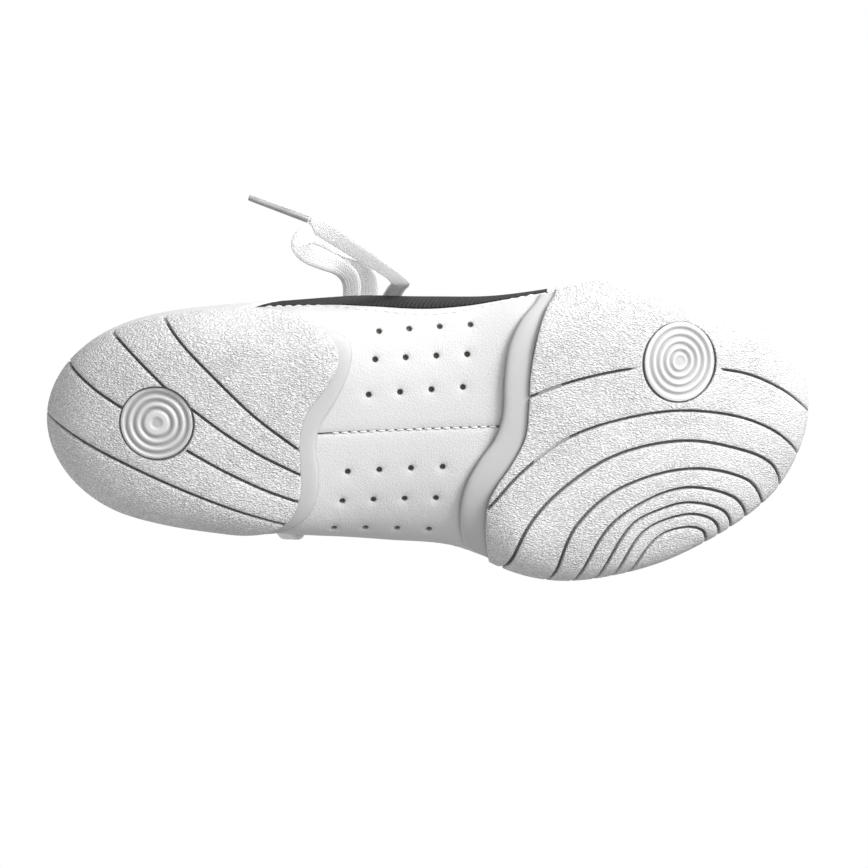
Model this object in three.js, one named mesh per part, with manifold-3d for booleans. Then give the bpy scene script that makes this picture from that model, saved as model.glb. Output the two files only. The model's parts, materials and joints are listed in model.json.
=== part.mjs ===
// Left low-cut cheer shoe with a split sole, standing on its sole. Millimetres, +Z up,
// +X to the toe, +Y to the outer (lateral) side. Every layer is a slice of one foot shape,
// so the layers nest; x in this file is measured from the back of the heel.
import * as THREE from 'three';
import { mergeVertices } from 'three/addons/utils/BufferGeometryUtils.js';
import Module from 'manifold-3d';

const wasm = await Module();
wasm.setup();

// ---- Driving dimensions ----
const HEEL_X = 2;                     // back of the leather heel
const TOE_X = 270;                    // front of the leather toe
const CENTRE_Y = -2;                  // line that the ribs of the foot shape fan out from
const CENTRE_X = 130;
const RIB_REACH = 0.8;                // length of that line, as a share of the shoe's length
const STATIONS = 18;                  // slices along the shoe
const ORIGIN = [136.2, 0.8, 0];       // middle of the shoe on the floor

const GAP = 0.3;                      // clearance between neighbouring pieces
const LEATHER = 1.4;                  // outer leather and textile
const LINING = 1.5;                   // lining and stiffeners behind it
const LINING_SETBACK = 10;            // lining ends this far from the throat, behind the holes
const OVERLAY = 1.2;                  // eyestays and heel tab, stitched over the leather
const MIDSOLE = 2.7;                  // foam under the leather
const OUTSOLE = 2.2;                  // rubber under the foam, before the ground plane trims it
const MIDSOLE_WRAP = 1;               // foam and rubber that turn up round the sides
const SOLE_WRAP = 2;
const COLLAR_PAD = 4.5;
const TONGUE_PAD = 4.5;
const BOARD = 2;
const INSOLE = 4;
const FOOTBED_INSET = 5;
const INSOLE_INSET = 7.5;
const INSOLE_END_X = 256;

const THROAT_TOP_X = 104;
const THROAT_END_X = 182;
const THROAT_HALF_WIDTH = 9;
const EYESTAY_WIDTH = 13;
const LACE_HOLES_X = [112, 124, 136, 148, 160, 172];
const LACE_HOLE_Y = 15;               // from the centre line
const LACE_HOLE_RADIUS = 2.2;
const LACE_RADIUS = 1.5;
const LACE_LIFT = 3.9;                // middle of a lace over the upper
const AGLET_LENGTH = 21;
const AGLET_RADIUS = 1.1;

// Pivot discs; sink is how far the face lies inside the rubber.
const HEEL_DISC = { x: 37, y: -4.4, radius: 12.9, sink: 0.95 };
const TOE_DISC = { x: 216.8, y: -25.8, radius: 14.6, sink: 0.3 };
const DISC_THICKNESS = 1.2;
const RIDGE_HEIGHT = 0.5;             // concentric ridges on the discs
const RIDGES = 3;

// ---- Smooth curves through a few points ----
function smooth(points) {
  const last = points.length - 1;
  const slope = points.map((_, i) => {
    const [before, after] = [points[Math.max(i - 1, 0)], points[Math.min(i + 1, last)]];
    return (after[1] - before[1]) / (after[0] - before[0]);
  });
  return (x) => {
    if (x <= points[0][0]) return points[0][1];
    if (x >= points[last][0]) return points[last][1];
    let i = 0;
    while (points[i + 1][0] < x) i += 1;
    const [x0, y0] = points[i];
    const [x1, y1] = points[i + 1];
    const [width, t] = [x1 - x0, (x - x0) / (x1 - x0)];
    const [t2, t3] = [t * t, t * t * t];
    return (2 * t3 - 3 * t2 + 1) * y0 + (3 * t2 - 2 * t3) * y1
      + width * ((t3 - 2 * t2 + t) * slope[i] + (t3 - t2) * slope[i + 1]);
  };
}

// ---- The foot shape ----
const angleAt = (x) => Math.acos(1 - 2 * (x - HEEL_X) / (TOE_X - HEEL_X));
const byAngle = (points) => smooth(points.map(([x, y]) => [angleAt(x), y]));

const lateralBreadth = byAngle([[2, -3], [5, 9.5], [12, 19], [24, 27], [40, 31.5], [60, 34.5],
  [90, 38], [118, 40.8], [140, 42.5], [155, 47], [170, 51], [182, 52], [198, 50.3], [214, 46.8],
  [230, 41], [246, 33], [258, 24], [266, 12], [270, -5]]);
const medialBreadth = byAngle([[2, -3], [5, -15.5], [13, -26], [26, -33.5], [42, -38],
  [60, -40.5], [85, -42.5], [112, -44.6], [135, -44.8], [155, -45.5], [172, -48], [186, -51],
  [198, -51], [214, -48], [232, -42], [248, -34.5], [260, -26.5], [267, -18], [270, -5]]);
const keelHeight = smooth([[0, 18], [11, 13], [23, 9.5], [36, 6.7], [49, 5], [61, 4.5], [84, 4.5],
  [100, 5.8], [125, 6.5], [148, 5.8], [164, 4.5], [181, 4.5], [191, 5], [203, 6.3], [217, 9.3],
  [231, 13.7], [246, 19.1], [263, 26], [272, 30]]);
const widestHeight = smooth([[0, 30], [30, 27], [120, 27], [180, 24], [215, 27], [250, 34],
  [272, 38]]);
const ridgeHeight = smooth([[0, 90], [40, 96], [84, 94], [104, 87], [130, 77], [150, 69.5],
  [170, 63], [190, 58], [215, 55.5], [235, 54.5], [250, 53.5], [262, 51.5], [272, 48]]);
const underSquareness = smooth([[0, 4.2], [80, 4.2], [108, 2.6], [145, 2.6], [168, 4.2],
  [272, 3.6]]);
const OVER_SQUARENESS = 2.2;
const UNDER_STEPS = [0, 0.55, 0.78, 0.91, 0.975, 1];
const OVER_STEPS = [0.97, 0.87, 0.67, 0.36, 0];

// One rib runs from the centre line out to the widest line; side is +1 lateral, -1 medial.
function rib(angle, side, out) {
  const x = HEEL_X + (TOE_X - HEEL_X) * (1 - Math.cos(angle)) / 2;
  const breadth = side > 0 ? lateralBreadth(angle) : medialBreadth(angle);
  return {
    x,
    inner: [CENTRE_X + (x - CENTRE_X) * RIB_REACH, CENTRE_Y],
    outer: [x - out * Math.cos(angle), breadth + side * out * Math.sin(angle)],
  };
}

// How far a surface lies outside the leather at the sides, underneath and on top.
const grown = (side, under = side, over = side) => ({ side, under, over });

// The point at share u along a rib, under or over the widest line.
function surfacePoint(angle, side, u, isOver, grow) {
  const r = rib(angle, side, grow.side);
  const x = r.inner[0] + (r.outer[0] - r.inner[0]) * u;
  const y = r.inner[1] + (r.outer[1] - r.inner[1]) * u;
  const widest = widestHeight(r.x);
  const square = isOver ? OVER_SQUARENESS : underSquareness(r.x);
  const rise = (1 - Math.min(u, 1) ** square) ** (1 / square);
  const far = isOver ? ridgeHeight(x) + grow.over : keelHeight(x) - grow.under;
  return new THREE.Vector3(x, y, widest + (far - widest) * rise);
}

// The point of a grown surface that lies over, or under, a place in plan.
function surfaceAt(x, y, isOver, grow) {
  const side = y > CENTRE_Y ? 1 : -1;
  let [low, high] = [HEEL_X, TOE_X];
  let share = 0;
  for (let i = 0; i < 40; i += 1) {
    const middle = (low + high) / 2;
    const r = rib(angleAt(middle), side, grow.side);
    share = (y - CENTRE_Y) / (r.outer[1] - CENTRE_Y);
    if (r.inner[0] + (r.outer[0] - r.inner[0]) * share < x) low = middle;
    else high = middle;
  }
  return surfacePoint(angleAt((low + high) / 2), side, share, isOver, grow);
}
const overPoint = (x, y, out) => surfaceAt(x, y, true, grown(0, 0, out));

// ---- Solids ----
function toSolid(geometry) {
  const bare = geometry.clone();
  for (const name of Object.keys(bare.attributes)) {
    if (name !== 'position') bare.deleteAttribute(name);
  }
  const merged = mergeVertices(bare, 1e-4);
  const old = merged.index.array;
  const kept = [];
  for (let i = 0; i < old.length; i += 3) {
    const [a, b, c] = [old[i], old[i + 1], old[i + 2]];
    if (a !== b && b !== c && c !== a) kept.push(a, b, c);
  }
  return new wasm.Manifold(new wasm.Mesh({
    numProp: 3,
    vertProperties: merged.attributes.position.array,
    triVerts: new Uint32Array(kept),
  }));
}

function toGeometry(solid) {
  const mesh = solid.getMesh();
  const geometry = new THREE.BufferGeometry();
  geometry.setAttribute('position', new THREE.BufferAttribute(mesh.vertProperties, 3));
  geometry.setIndex(new THREE.BufferAttribute(mesh.triVerts, 1));
  return geometry;
}

// Closed skin over rings of points, turned so that its faces point outwards.
function loft(rings, hasEnds) {
  const count = rings[0].length;
  const index = [];
  for (let i = 0; i + 1 < rings.length; i += 1) {
    for (let j = 0; j < count; j += 1) {
      const k = (j + 1) % count;
      const [a, b, c, d] = [i * count + j, i * count + k, (i + 1) * count + k, (i + 1) * count + j];
      index.push(a, c, b, a, d, c);
    }
  }
  const points = rings.flat();
  if (hasEnds) {
    for (const [ring, start, turn] of [[rings[0], 0, 0],
      [rings.at(-1), (rings.length - 1) * count, 1]]) {
      const middle = ring.reduce((sum, p) => sum.add(p), new THREE.Vector3()).divideScalar(count);
      points.push(middle);
      for (let j = 0; j < count; j += 1) {
        const [a, b] = [start + j, start + (j + 1) % count];
        index.push(points.length - 1, turn ? b : a, turn ? a : b);
      }
    }
  }
  const geometry = new THREE.BufferGeometry().setFromPoints(points);
  geometry.setIndex(index);
  const solid = toSolid(geometry);
  if (solid.volume() > 0) return solid;
  geometry.setIndex(index.reverse());
  return toSolid(geometry);
}

function footSolid(grow) {
  const rings = [];
  for (let i = 0; i <= STATIONS; i += 1) {
    const angle = Math.PI * i / STATIONS;
    const under = (side, u) => surfacePoint(angle, side, u, false, grow);
    const over = (side, u) => surfacePoint(angle, side, u, true, grow);
    rings.push([
      ...UNDER_STEPS.map((u) => under(1, u)),
      ...OVER_STEPS.map((u) => over(1, u)),
      ...OVER_STEPS.slice(0, -1).reverse().map((u) => over(-1, u)),
      ...UNDER_STEPS.slice(1).reverse().map((u) => under(-1, u)),
    ]);
  }
  return loft(rings, false);
}

const shell = (outer, inner) => footSolid(outer).subtract(footSolid(inner));

const largest = (solid) => solid.decompose().sort((a, b) => b.volume() - a.volume())[0];

function extruded(points, depth) {
  const shape = new THREE.Shape(points.map(([x, y]) => new THREE.Vector2(x, y)));
  return new THREE.ExtrudeGeometry(shape, { depth, bevelEnabled: false });
}

// An outline in plan, made into a wall from low to high.
const planPrism = (points, low = -20, high = 140) =>
  toSolid(extruded(points, high - low).translate(0, 0, low));
// An outline seen from the side, in x and z, made into a wall right across the shoe.
const sidePrism = (points) =>
  toSolid(extruded(points, 180).rotateX(Math.PI / 2).translate(0, 90, 0));

const rectangle = (x0, y0, x1, y1) => [[x0, y0], [x1, y0], [x1, y1], [x0, y1]];

function curved(points, count) {
  const curve = new THREE.CatmullRomCurve3(points.map(([x, y]) => new THREE.Vector3(x, y, 0)));
  return curve.getPoints(count).map((p) => [p.x, p.y]);
}

function planOutline(out) {
  const points = [];
  for (let i = 0; i < 2 * STATIONS; i += 1) {
    const turn = Math.PI * i / STATIONS;
    const side = turn < Math.PI ? 1 : -1;
    points.push(rib(side > 0 ? turn : 2 * Math.PI - turn, side, out).outer);
  }
  return points;
}

function tube(points, radius, steps, sides = 8) {
  const path = new THREE.CatmullRomCurve3(points);
  const section = new THREE.Shape();
  for (let i = 0; i < sides; i += 1) {
    const turn = 2 * Math.PI * i / sides;
    const [x, y] = [radius * Math.cos(turn), radius * Math.sin(turn)];
    if (i === 0) section.moveTo(x, y);
    else section.lineTo(x, y);
  }
  section.closePath();
  return toSolid(new THREE.ExtrudeGeometry(section, { steps, extrudePath: path }));
}

// ---- Where the pieces end ----
const heelPadFront = curved([[84, -60], [86.1, -42.5], [97, -32], [97.2, -23], [88.6, -10.6],
  [85, 2], [85.6, 18], [81.5, 31], [80, 60]], 20);
const heelRimFront = curved([[92, -60], [97, -42], [103, -30], [102, -21], [95, -8],
  [91, 3], [92, 16], [88, 32], [86, 60]], 20);
const forePadRear = curved([[176, -66], [171, -48.6], [165.6, -35], [163.2, -14], [162, 2],
  [152.4, 17.8], [149.9, 30], [152, 42], [156, 66]], 20);
const foreRimRear = curved([[174, -66], [166, -50], [156.4, -31.4], [154.4, -8], [148, 7.5],
  [141.5, 22], [141.5, 34], [146, 48], [150, 66]], 20);
const behind = (line) => planPrism([...line, [-20, line.at(-1)[1]], [-20, line[0][1]]]);
const ahead = (line) => planPrism([...line, [300, line.at(-1)[1]], [300, line[0][1]]]);

// Upper edges of the rubber and of the foam rim that shows above it, seen from the side.
const heelWrapTop = (lift) => sidePrism([[-10, -20], [-10, 25 + lift], [20, 20 + lift],
  [60, 15.5 + lift], [115, 13.5 + lift], [115, -20]]);
const foreWrapTop = (lift) => sidePrism([[130, -20], [130, 12.5 + lift], [160, 13.5 + lift],
  [200, 16 + lift], [235, 24 + lift], [262, 36 + lift], [290, 47 + lift], [290, -20]]);
const RIM_LIFT = 1.5;

// Collar edge from the back of the heel, down past the ankle bone and up to the throat.
const collarLine = [[-10, 70], [8, 70], [20, 66], [45, 58], [66, 54], [84, 58], [95, 69],
  [THROAT_TOP_X, 83]];
const underCollar = (lift) => sidePrism([[-10, -20], ...collarLine.map(([x, z]) => [x, z + lift]),
  [THROAT_TOP_X + 2, 120], [300, 120], [300, -20]]);
const throat = (extra) => planPrism([
  [THROAT_TOP_X - 30, CENTRE_Y - THROAT_HALF_WIDTH - extra],
  [THROAT_END_X - 6, CENTRE_Y - THROAT_HALF_WIDTH - extra],
  [THROAT_END_X + extra, CENTRE_Y - 4], [THROAT_END_X + extra, CENTRE_Y + 4],
  [THROAT_END_X - 6, CENTRE_Y + THROAT_HALF_WIDTH + extra],
  [THROAT_TOP_X - 30, CENTRE_Y + THROAT_HALF_WIDTH + extra]], 45);

// Side-view outlines that share the outer skin between its pieces.
const QUARTER_FRONT = [[70, -20], [70, 24], [92, 62], [92, 130]];
const VAMP_REAR = [[172, -20], [172, 24], [184, 62], [184, 130]];
const TOE_CAP_REAR = [[236, -20], [240, 30], [228, 60], [228, 130]];
// The arch leather's upper edge climbs higher on the lateral side.
const medialWrapTop = [[70, 26], [92, 21], [120, 18.5], [148, 20], [172, 25]];
const lateralWrapTop = [[70, 24], [92, 27], [120, 29], [148, 27], [172, 24]];
const shifted = (line, dx, dz = 0) => line.map(([x, z]) => [x + dx, z + dz]);
const between = (rear, front) => sidePrism([...shifted(rear, GAP / 2),
  ...shifted(front, -GAP / 2).reverse()]);
const HEEL_END = [[-20, -20], [-20, 130]];
const TOE_END = [[300, -20], [300, 130]];
const across = (top, dz) => [[60, top[0][1] + dz], ...shifted(top, 0, dz),
  [180, top[top.length - 1][1] + dz]];
const belowWrapTop = (top) => sidePrism([[60, -20], ...across(top, -GAP / 2), [180, -20]]);
const aboveWrapTop = (top) => sidePrism([[60, 130], ...across(top, GAP / 2), [180, 130]].reverse());
// The arch leather is two pieces that meet at a stitched seam under the foot.
const archSeam = [[60, 0.9], [182, -4.2]];
const lateralOfSeam = planPrism([...shifted(archSeam, 0, GAP / 2), [182, 80], [60, 80]]);
const medialOfSeam = planPrism([[60, -80], [182, -80], ...shifted(archSeam, 0, -GAP / 2)
  .reverse()]);
const lateralHalf = planPrism(rectangle(-20, CENTRE_Y + GAP / 2, 300, 80));
const medialHalf = planPrism(rectangle(-20, -80, 300, CENTRE_Y - GAP / 2));

const laceHoles = [];
for (const x of LACE_HOLES_X) {
  for (const side of [-1, 1]) {
    laceHoles.push(toSolid(new THREE.CylinderGeometry(LACE_HOLE_RADIUS, LACE_HOLE_RADIUS, 120, 8)
      .rotateX(Math.PI / 2).translate(x, CENTRE_Y + side * LACE_HOLE_Y, 80)));
  }
}
const withLaceHoles = (solid) => laceHoles.reduce((left, hole) => left.subtract(hole), solid);

// ---- Sole: a heel unit and a forefoot unit, with bare leather between them ----
const aboveGround = planPrism(rectangle(-20, -90, 300, 90), 0);
const SOLE_DEPTH = 2 * GAP + MIDSOLE + OUTSOLE;
const midsoleShell = shell(grown(MIDSOLE_WRAP, GAP + MIDSOLE), grown(GAP));
const outsoleShell = shell(grown(SOLE_WRAP, SOLE_DEPTH),
  grown(MIDSOLE_WRAP + GAP, SOLE_DEPTH - OUTSOLE)).intersect(aboveGround);

// Turns a piece made round +Z so that it stands on the sole where a disc lies, facing out.
function placeOnSole(geometry, disc, outOfLeather) {
  const reach = 0.8 * disc.radius;
  const sole = (dx, dy) => {
    const point = surfaceAt(disc.x + dx, disc.y + dy, false, grown(0, outOfLeather));
    return point.setZ(Math.max(point.z, 0));
  };
  const along = sole(reach, 0).sub(sole(-reach, 0));
  const across = sole(0, reach).sub(sole(0, -reach));
  const out = across.cross(along).normalize();
  const middle = sole(reach, 0).add(sole(-reach, 0)).add(sole(0, reach)).add(sole(0, -reach))
    .divideScalar(4);
  return geometry.applyQuaternion(new THREE.Quaternion()
    .setFromUnitVectors(new THREE.Vector3(0, 0, 1), out)).translate(middle.x, middle.y, middle.z);
}
function discRecess(disc) {
  const radius = disc.radius + GAP;
  return toSolid(placeOnSole(new THREE.CylinderGeometry(radius, radius, 8, 28)
    .rotateX(Math.PI / 2), disc, SOLE_DEPTH));
}

// A disc with a flat back and concentric ridges on the face that turns on the floor.
function pivotDisc(disc) {
  const pitch = disc.radius / (RIDGES + 0.5);
  const profile = [new THREE.Vector2(0, -DISC_THICKNESS),
    new THREE.Vector2(disc.radius, -DISC_THICKNESS), new THREE.Vector2(disc.radius, 0)];
  for (let i = RIDGES; i > 0; i -= 1) {
    profile.push(new THREE.Vector2(pitch * (i + 0.25), 0));
    profile.push(new THREE.Vector2(pitch * i, -RIDGE_HEIGHT));
  }
  profile.push(new THREE.Vector2(pitch / 2, 0), new THREE.Vector2(0, 0));
  return toSolid(placeOnSole(new THREE.LatheGeometry(profile, 28).rotateX(Math.PI / 2), disc,
    SOLE_DEPTH - disc.sink));
}

const heelMidsole = midsoleShell.intersect(behind(heelRimFront)).intersect(heelWrapTop(RIM_LIFT));
const heelOutsole = outsoleShell.intersect(behind(heelPadFront)).intersect(heelWrapTop(0));
const foreMidsole = midsoleShell.intersect(ahead(foreRimRear)).intersect(foreWrapTop(RIM_LIFT));
const foreOutsole = outsoleShell.intersect(ahead(forePadRear)).intersect(foreWrapTop(0));

// ---- Upper ----
const skinShell = shell(grown(0), grown(-LEATHER)).intersect(underCollar(0)).subtract(throat(0));
const heelQuarter = skinShell.intersect(between(HEEL_END, QUARTER_FRONT));
const midfootSkin = skinShell.intersect(between(QUARTER_FRONT, VAMP_REAR));
const sidePanel = (half, top) => withLaceHoles(midfootSkin.intersect(half)
  .intersect(aboveWrapTop(top)));
const archLeather = (half, top) => midfootSkin.intersect(half).intersect(belowWrapTop(top));
const vamp = skinShell.intersect(between(VAMP_REAR, TOE_CAP_REAR));
const toeCap = skinShell.intersect(between(TOE_CAP_REAR, TOE_END));

const eyestays = withLaceHoles(shell(grown(GAP + OVERLAY), grown(GAP))
  .intersect(planPrism(rectangle(THROAT_TOP_X + 2, -40, THROAT_END_X - 5, 40), 45))
  .intersect(planPrism(rectangle(0, CENTRE_Y - THROAT_HALF_WIDTH - EYESTAY_WIDTH, 300,
    CENTRE_Y + THROAT_HALF_WIDTH + EYESTAY_WIDTH), 45)).subtract(throat(0)));
const heelTab = shell(grown(GAP + OVERLAY), grown(GAP)).intersect(underCollar(0))
  .intersect(toSolid(new THREE.BoxGeometry(40, 14, 26).translate(10, -3, 60)));

// ---- Inside ----
const inner = LEATHER + GAP;
const cavity = inner + LINING + GAP;
const insideLeather = footSolid(grown(-inner));
// A layer that covers the bottom of the inside, lift above the leather.
const layer = (lift, thickness, inset) => insideLeather.translate(0, 0, lift)
  .subtract(insideLeather.translate(0, 0, lift + thickness))
  .intersect(planPrism(planOutline(-inset)));
const liningShell = insideLeather.subtract(footSolid(grown(-inner - LINING)))
  .subtract(layer(-GAP, BOARD + 2 * GAP, FOOTBED_INSET - GAP));
const COUNTER_FRONT = [[62, -20], [62, 130]];
const PUFF_REAR = [[206, -20], [206, 130]];
const counter = liningShell.intersect(between(HEEL_END, COUNTER_FRONT))
  .intersect(planPrism(rectangle(-20, -80, 300, 80), -20, 48));
const lining = liningShell.intersect(between(COUNTER_FRONT, PUFF_REAR))
  .intersect(underCollar(-14)).subtract(throat(LINING_SETBACK));
const toePuff = largest(liningShell.intersect(between(PUFF_REAR, TOE_END)));
const collarBand = sidePrism([[-10, 48.5], ...shifted(collarLine.slice(0, -2), 0, 2),
  [92, 64], [96, 58], [80, 48], [66, 41], [62.5, 41], [62.5, 48.5]]);
const collarPad = shell(grown(-inner), grown(-inner - COLLAR_PAD)).intersect(collarBand);
const tongue = shell(grown(-cavity), grown(-cavity - TONGUE_PAD))
  .intersect(planPrism(rectangle(THROAT_TOP_X + 2, CENTRE_Y - 20, THROAT_END_X + 8,
    CENTRE_Y + 20), 40));

// Padded end of the tongue, standing up in front of the ankle.
function tonguePad() {
  const middle = new THREE.CatmullRomCurve3([[102.5, 79.5], [97, 86], [91, 95], [86.5, 105]]
    .map(([x, z]) => new THREE.Vector3(x, CENTRE_Y, z)));
  const halfWidth = smooth([[0, 14], [0.35, 19], [0.7, 22], [0.92, 19], [1, 14]]);
  const halfThickness = smooth([[0, 2.2], [0.4, 3.4], [0.8, 3.6], [1, 1.4]]);
  const rings = [];
  for (let i = 0; i <= 8; i += 1) {
    const along = i / 8;
    const at = middle.getPoint(along);
    const tangent = middle.getTangent(along);
    const front = new THREE.Vector3(-tangent.z, 0, tangent.x).negate();
    const ring = [];
    for (let j = 0; j < 16; j += 1) {
      const turn = 2 * Math.PI * j / 16;
      const across = Math.sign(Math.cos(turn)) * Math.abs(Math.cos(turn)) ** 0.7;
      const bend = -5 * across * across;
      ring.push(at.clone().add(new THREE.Vector3(0, across * halfWidth(along), 0))
        .addScaledVector(front, Math.sin(turn) * halfThickness(along) + bend));
    }
    rings.push(ring);
  }
  return loft(rings, true);
}

// ---- Lace ----
const lifted = (x, y, out = LACE_LIFT) => overPoint(x, CENTRE_Y + y, out);
const below = (point, drop) => point.clone().add(new THREE.Vector3(0, 0, -drop));

function laceBar(x) {
  const [left, right] = [lifted(x, -LACE_HOLE_Y), lifted(x, LACE_HOLE_Y)];
  return tube([below(left, 2.6), left, lifted(x, -11), lifted(x, -5), lifted(x, 5),
    lifted(x, 11), right, below(right, 2.6)], LACE_RADIUS, 10);
}

const KNOT = new THREE.Vector3(LACE_HOLES_X[0], CENTRE_Y, ridgeHeight(LACE_HOLES_X[0]) + 5);
const KNOT_SIZE = [6.5, 6.5, 4.5];
function laceKnot() {
  let solid = toSolid(new THREE.SphereGeometry(1, 14, 8).scale(...KNOT_SIZE)
    .translate(KNOT.x, KNOT.y, KNOT.z));
  for (const side of [-1, 1]) {
    const hole = lifted(LACE_HOLES_X[0], side * LACE_HOLE_Y);
    solid = solid.add(tube([below(hole, 2.6), hole, lifted(LACE_HOLES_X[0], side * 9),
      KNOT], LACE_RADIUS, 6));
  }
  return solid;
}

// Routes of the bow: two loops, and two free ends that each finish in an aglet.
const vectors = (points) => points.map((p) => new THREE.Vector3(...p));
const medialLoopRoute = vectors([[108.4, -8.6, 90.6], [111.5, -18, 90.6], [115, -29, 87.5],
  [117, -39, 82], [115.5, -47, 75.5], [110, -53.5, 69.5], [103.3, -58.8, 64], [96, -62.7, 60],
  [91, -63.2, 56.5], [88.8, -60, 54.4], [91.5, -56.8, 55.2], [97, -54.2, 59], [103.5, -51.5, 64.5],
  [108.5, -46.5, 71.5], [110, -39, 77.5], [109.2, -29.5, 82.5], [107, -19, 86.6],
  [104.8, -11, 88.4], [105.6, -6.6, 88.6]]);
const lateralLoopRoute = vectors([[108.4, 4.6, 90.6], [106, 13, 91], [103, 23, 87.5],
  [99, 33, 81], [94.5, 41, 72.5], [90, 46, 63.5], [87, 47, 57], [84.5, 43.5, 55.5],
  [84.5, 38.5, 60], [87.5, 33, 68], [92.5, 26, 76.5], [98.5, 16.5, 83.5], [103.5, 7, 87.8],
  [105.6, 2.6, 88.6]]);
const medialEndRoute = vectors([[116.8, -9, 88.4], [118, -17, 85.6], [119.5, -26, 80.5],
  [121.5, -34.5, 72], [122.5, -41, 60], [122.5, -45.6, 46], [122, -48.4, 33],
  [120.6, -51, 21], [117, -54.4, 11], [111, -58.6, 4.4], [103.5, -63.4, 1.9],
  [95.5, -68.6, 1.6], [87.4, -73.6, 1.6]]);
const lateralEndRoute = vectors([[115.4, 4.2, 88], [121, 12.5, 84.6], [129, 20, 78],
  [137, 27, 70.5], [143.5, 34, 61.8], [147, 40.2, 53], [148.8, 44.8, 45]]);
const medialAgletTip = new THREE.Vector3(67.6, -80.6, 1.6);
const lateralAgletTip = new THREE.Vector3(160.6, 49.8, 27.6);

function aglet(route, tip) {
  const start = route.at(-1);
  const along = tip.clone().sub(start).normalize();
  const middle = start.clone().addScaledVector(along, 2 * GAP + AGLET_LENGTH / 2);
  const turn = new THREE.Quaternion().setFromUnitVectors(new THREE.Vector3(0, 1, 0), along);
  const barrel = new THREE.CylinderGeometry(AGLET_RADIUS, AGLET_RADIUS * 1.3, AGLET_LENGTH, 10);
  return toSolid(barrel.applyQuaternion(turn).translate(middle.x, middle.y, middle.z));
}

// ---- The assembly ----
const part = new THREE.Group();
part.position.set(-ORIGIN[0], -ORIGIN[1], -ORIGIN[2]);

const looks = {
  leather: { color: 0xf2f2f0, roughness: 0.5 },
  textile: { color: 0x3c3d40, roughness: 0.9 },
  rubber: { color: 0xdcdcda, roughness: 0.7 },
  foam: { color: 0xeeeeec, roughness: 0.6 },
  disc: { color: 0xe6e6e4, roughness: 0.4 },
  lining: { color: 0xd6d6d4, roughness: 0.95 },
  board: { color: 0xb9a88c, roughness: 0.9 },
  stiffener: { color: 0xcfc8b8, roughness: 0.8 },
  lace: { color: 0xf6f6f4, roughness: 0.85 },
  aglet: { color: 0x8c8e92, roughness: 0.35 },
};

function put(name, look, solid) {
  const mesh = new THREE.Mesh(toGeometry(solid),
    new THREE.MeshStandardMaterial({ ...looks[look], metalness: 0 }));
  mesh.name = name;
  part.add(mesh);
}

put('heel_midsole', 'foam', heelMidsole);
put('heel_outsole', 'rubber', heelOutsole.subtract(discRecess(HEEL_DISC)));
put('heel_pivot_disc', 'disc', pivotDisc(HEEL_DISC));
put('forefoot_midsole', 'foam', foreMidsole);
put('forefoot_outsole', 'rubber', foreOutsole.subtract(discRecess(TOE_DISC)));
put('forefoot_pivot_disc', 'disc', pivotDisc(TOE_DISC));

put('heel_quarter', 'leather', heelQuarter);
put('medial_arch_wrap', 'leather', archLeather(medialOfSeam, medialWrapTop));
put('lateral_arch_wrap', 'leather', archLeather(lateralOfSeam, lateralWrapTop));
put('medial_side_panel', 'textile', sidePanel(medialHalf, medialWrapTop));
put('lateral_side_panel', 'textile', sidePanel(lateralHalf, lateralWrapTop));
put('toe_vamp', 'leather', vamp);
put('toe_cap', 'leather', toeCap);
put('medial_eyestay', 'leather', eyestays.intersect(medialHalf));
put('lateral_eyestay', 'leather', eyestays.intersect(lateralHalf));
put('heel_tab', 'leather', heelTab);

put('heel_counter', 'stiffener', counter);
put('toe_puff', 'stiffener', toePuff);
put('upper_lining', 'lining', lining);
put('collar_pad', 'lining', collarPad);
put('insole_board', 'board', layer(0, BOARD, FOOTBED_INSET));
put('insole', 'lining', layer(BOARD + GAP, INSOLE, INSOLE_INSET)
  .intersect(planPrism(rectangle(0, -80, INSOLE_END_X, 80))));
put('tongue', 'leather', tongue);
put('tongue_top_pad', 'leather', tonguePad());

LACE_HOLES_X.slice(1).forEach((x, i) => put(`lace_bar_${i + 1}`, 'lace', laceBar(x)));
put('lace_knot', 'lace', laceKnot());
put('medial_bow_loop', 'lace', tube(medialLoopRoute, LACE_RADIUS, 18));
put('lateral_bow_loop', 'lace', tube(lateralLoopRoute, LACE_RADIUS, 18));
put('medial_lace_end', 'lace', tube(medialEndRoute, LACE_RADIUS, 20));
put('lateral_lace_end', 'lace', tube(lateralEndRoute, LACE_RADIUS, 12));
put('medial_aglet', 'aglet', aglet(medialEndRoute, medialAgletTip));
put('lateral_aglet', 'aglet', aglet(lateralEndRoute, lateralAgletTip));

export default part;
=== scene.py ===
"""Looks of a left low-cut cheer shoe with a split sole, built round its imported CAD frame.

Shapes are worked out in millimetres, with x measured from the back of the heel, as the solids
are, and go into Blender in metres. Every layer of the shoe is a Skin: the foot shape grown or
shrunk, addressed by side, rib angle and distance along the rib.
"""
import json
import math

import bpy
import numpy as np
from mathutils import Matrix, Vector, noise
from mathutils.bvhtree import BVHTree
from mathutils.geometry import delaunay_2d_cdt


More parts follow.
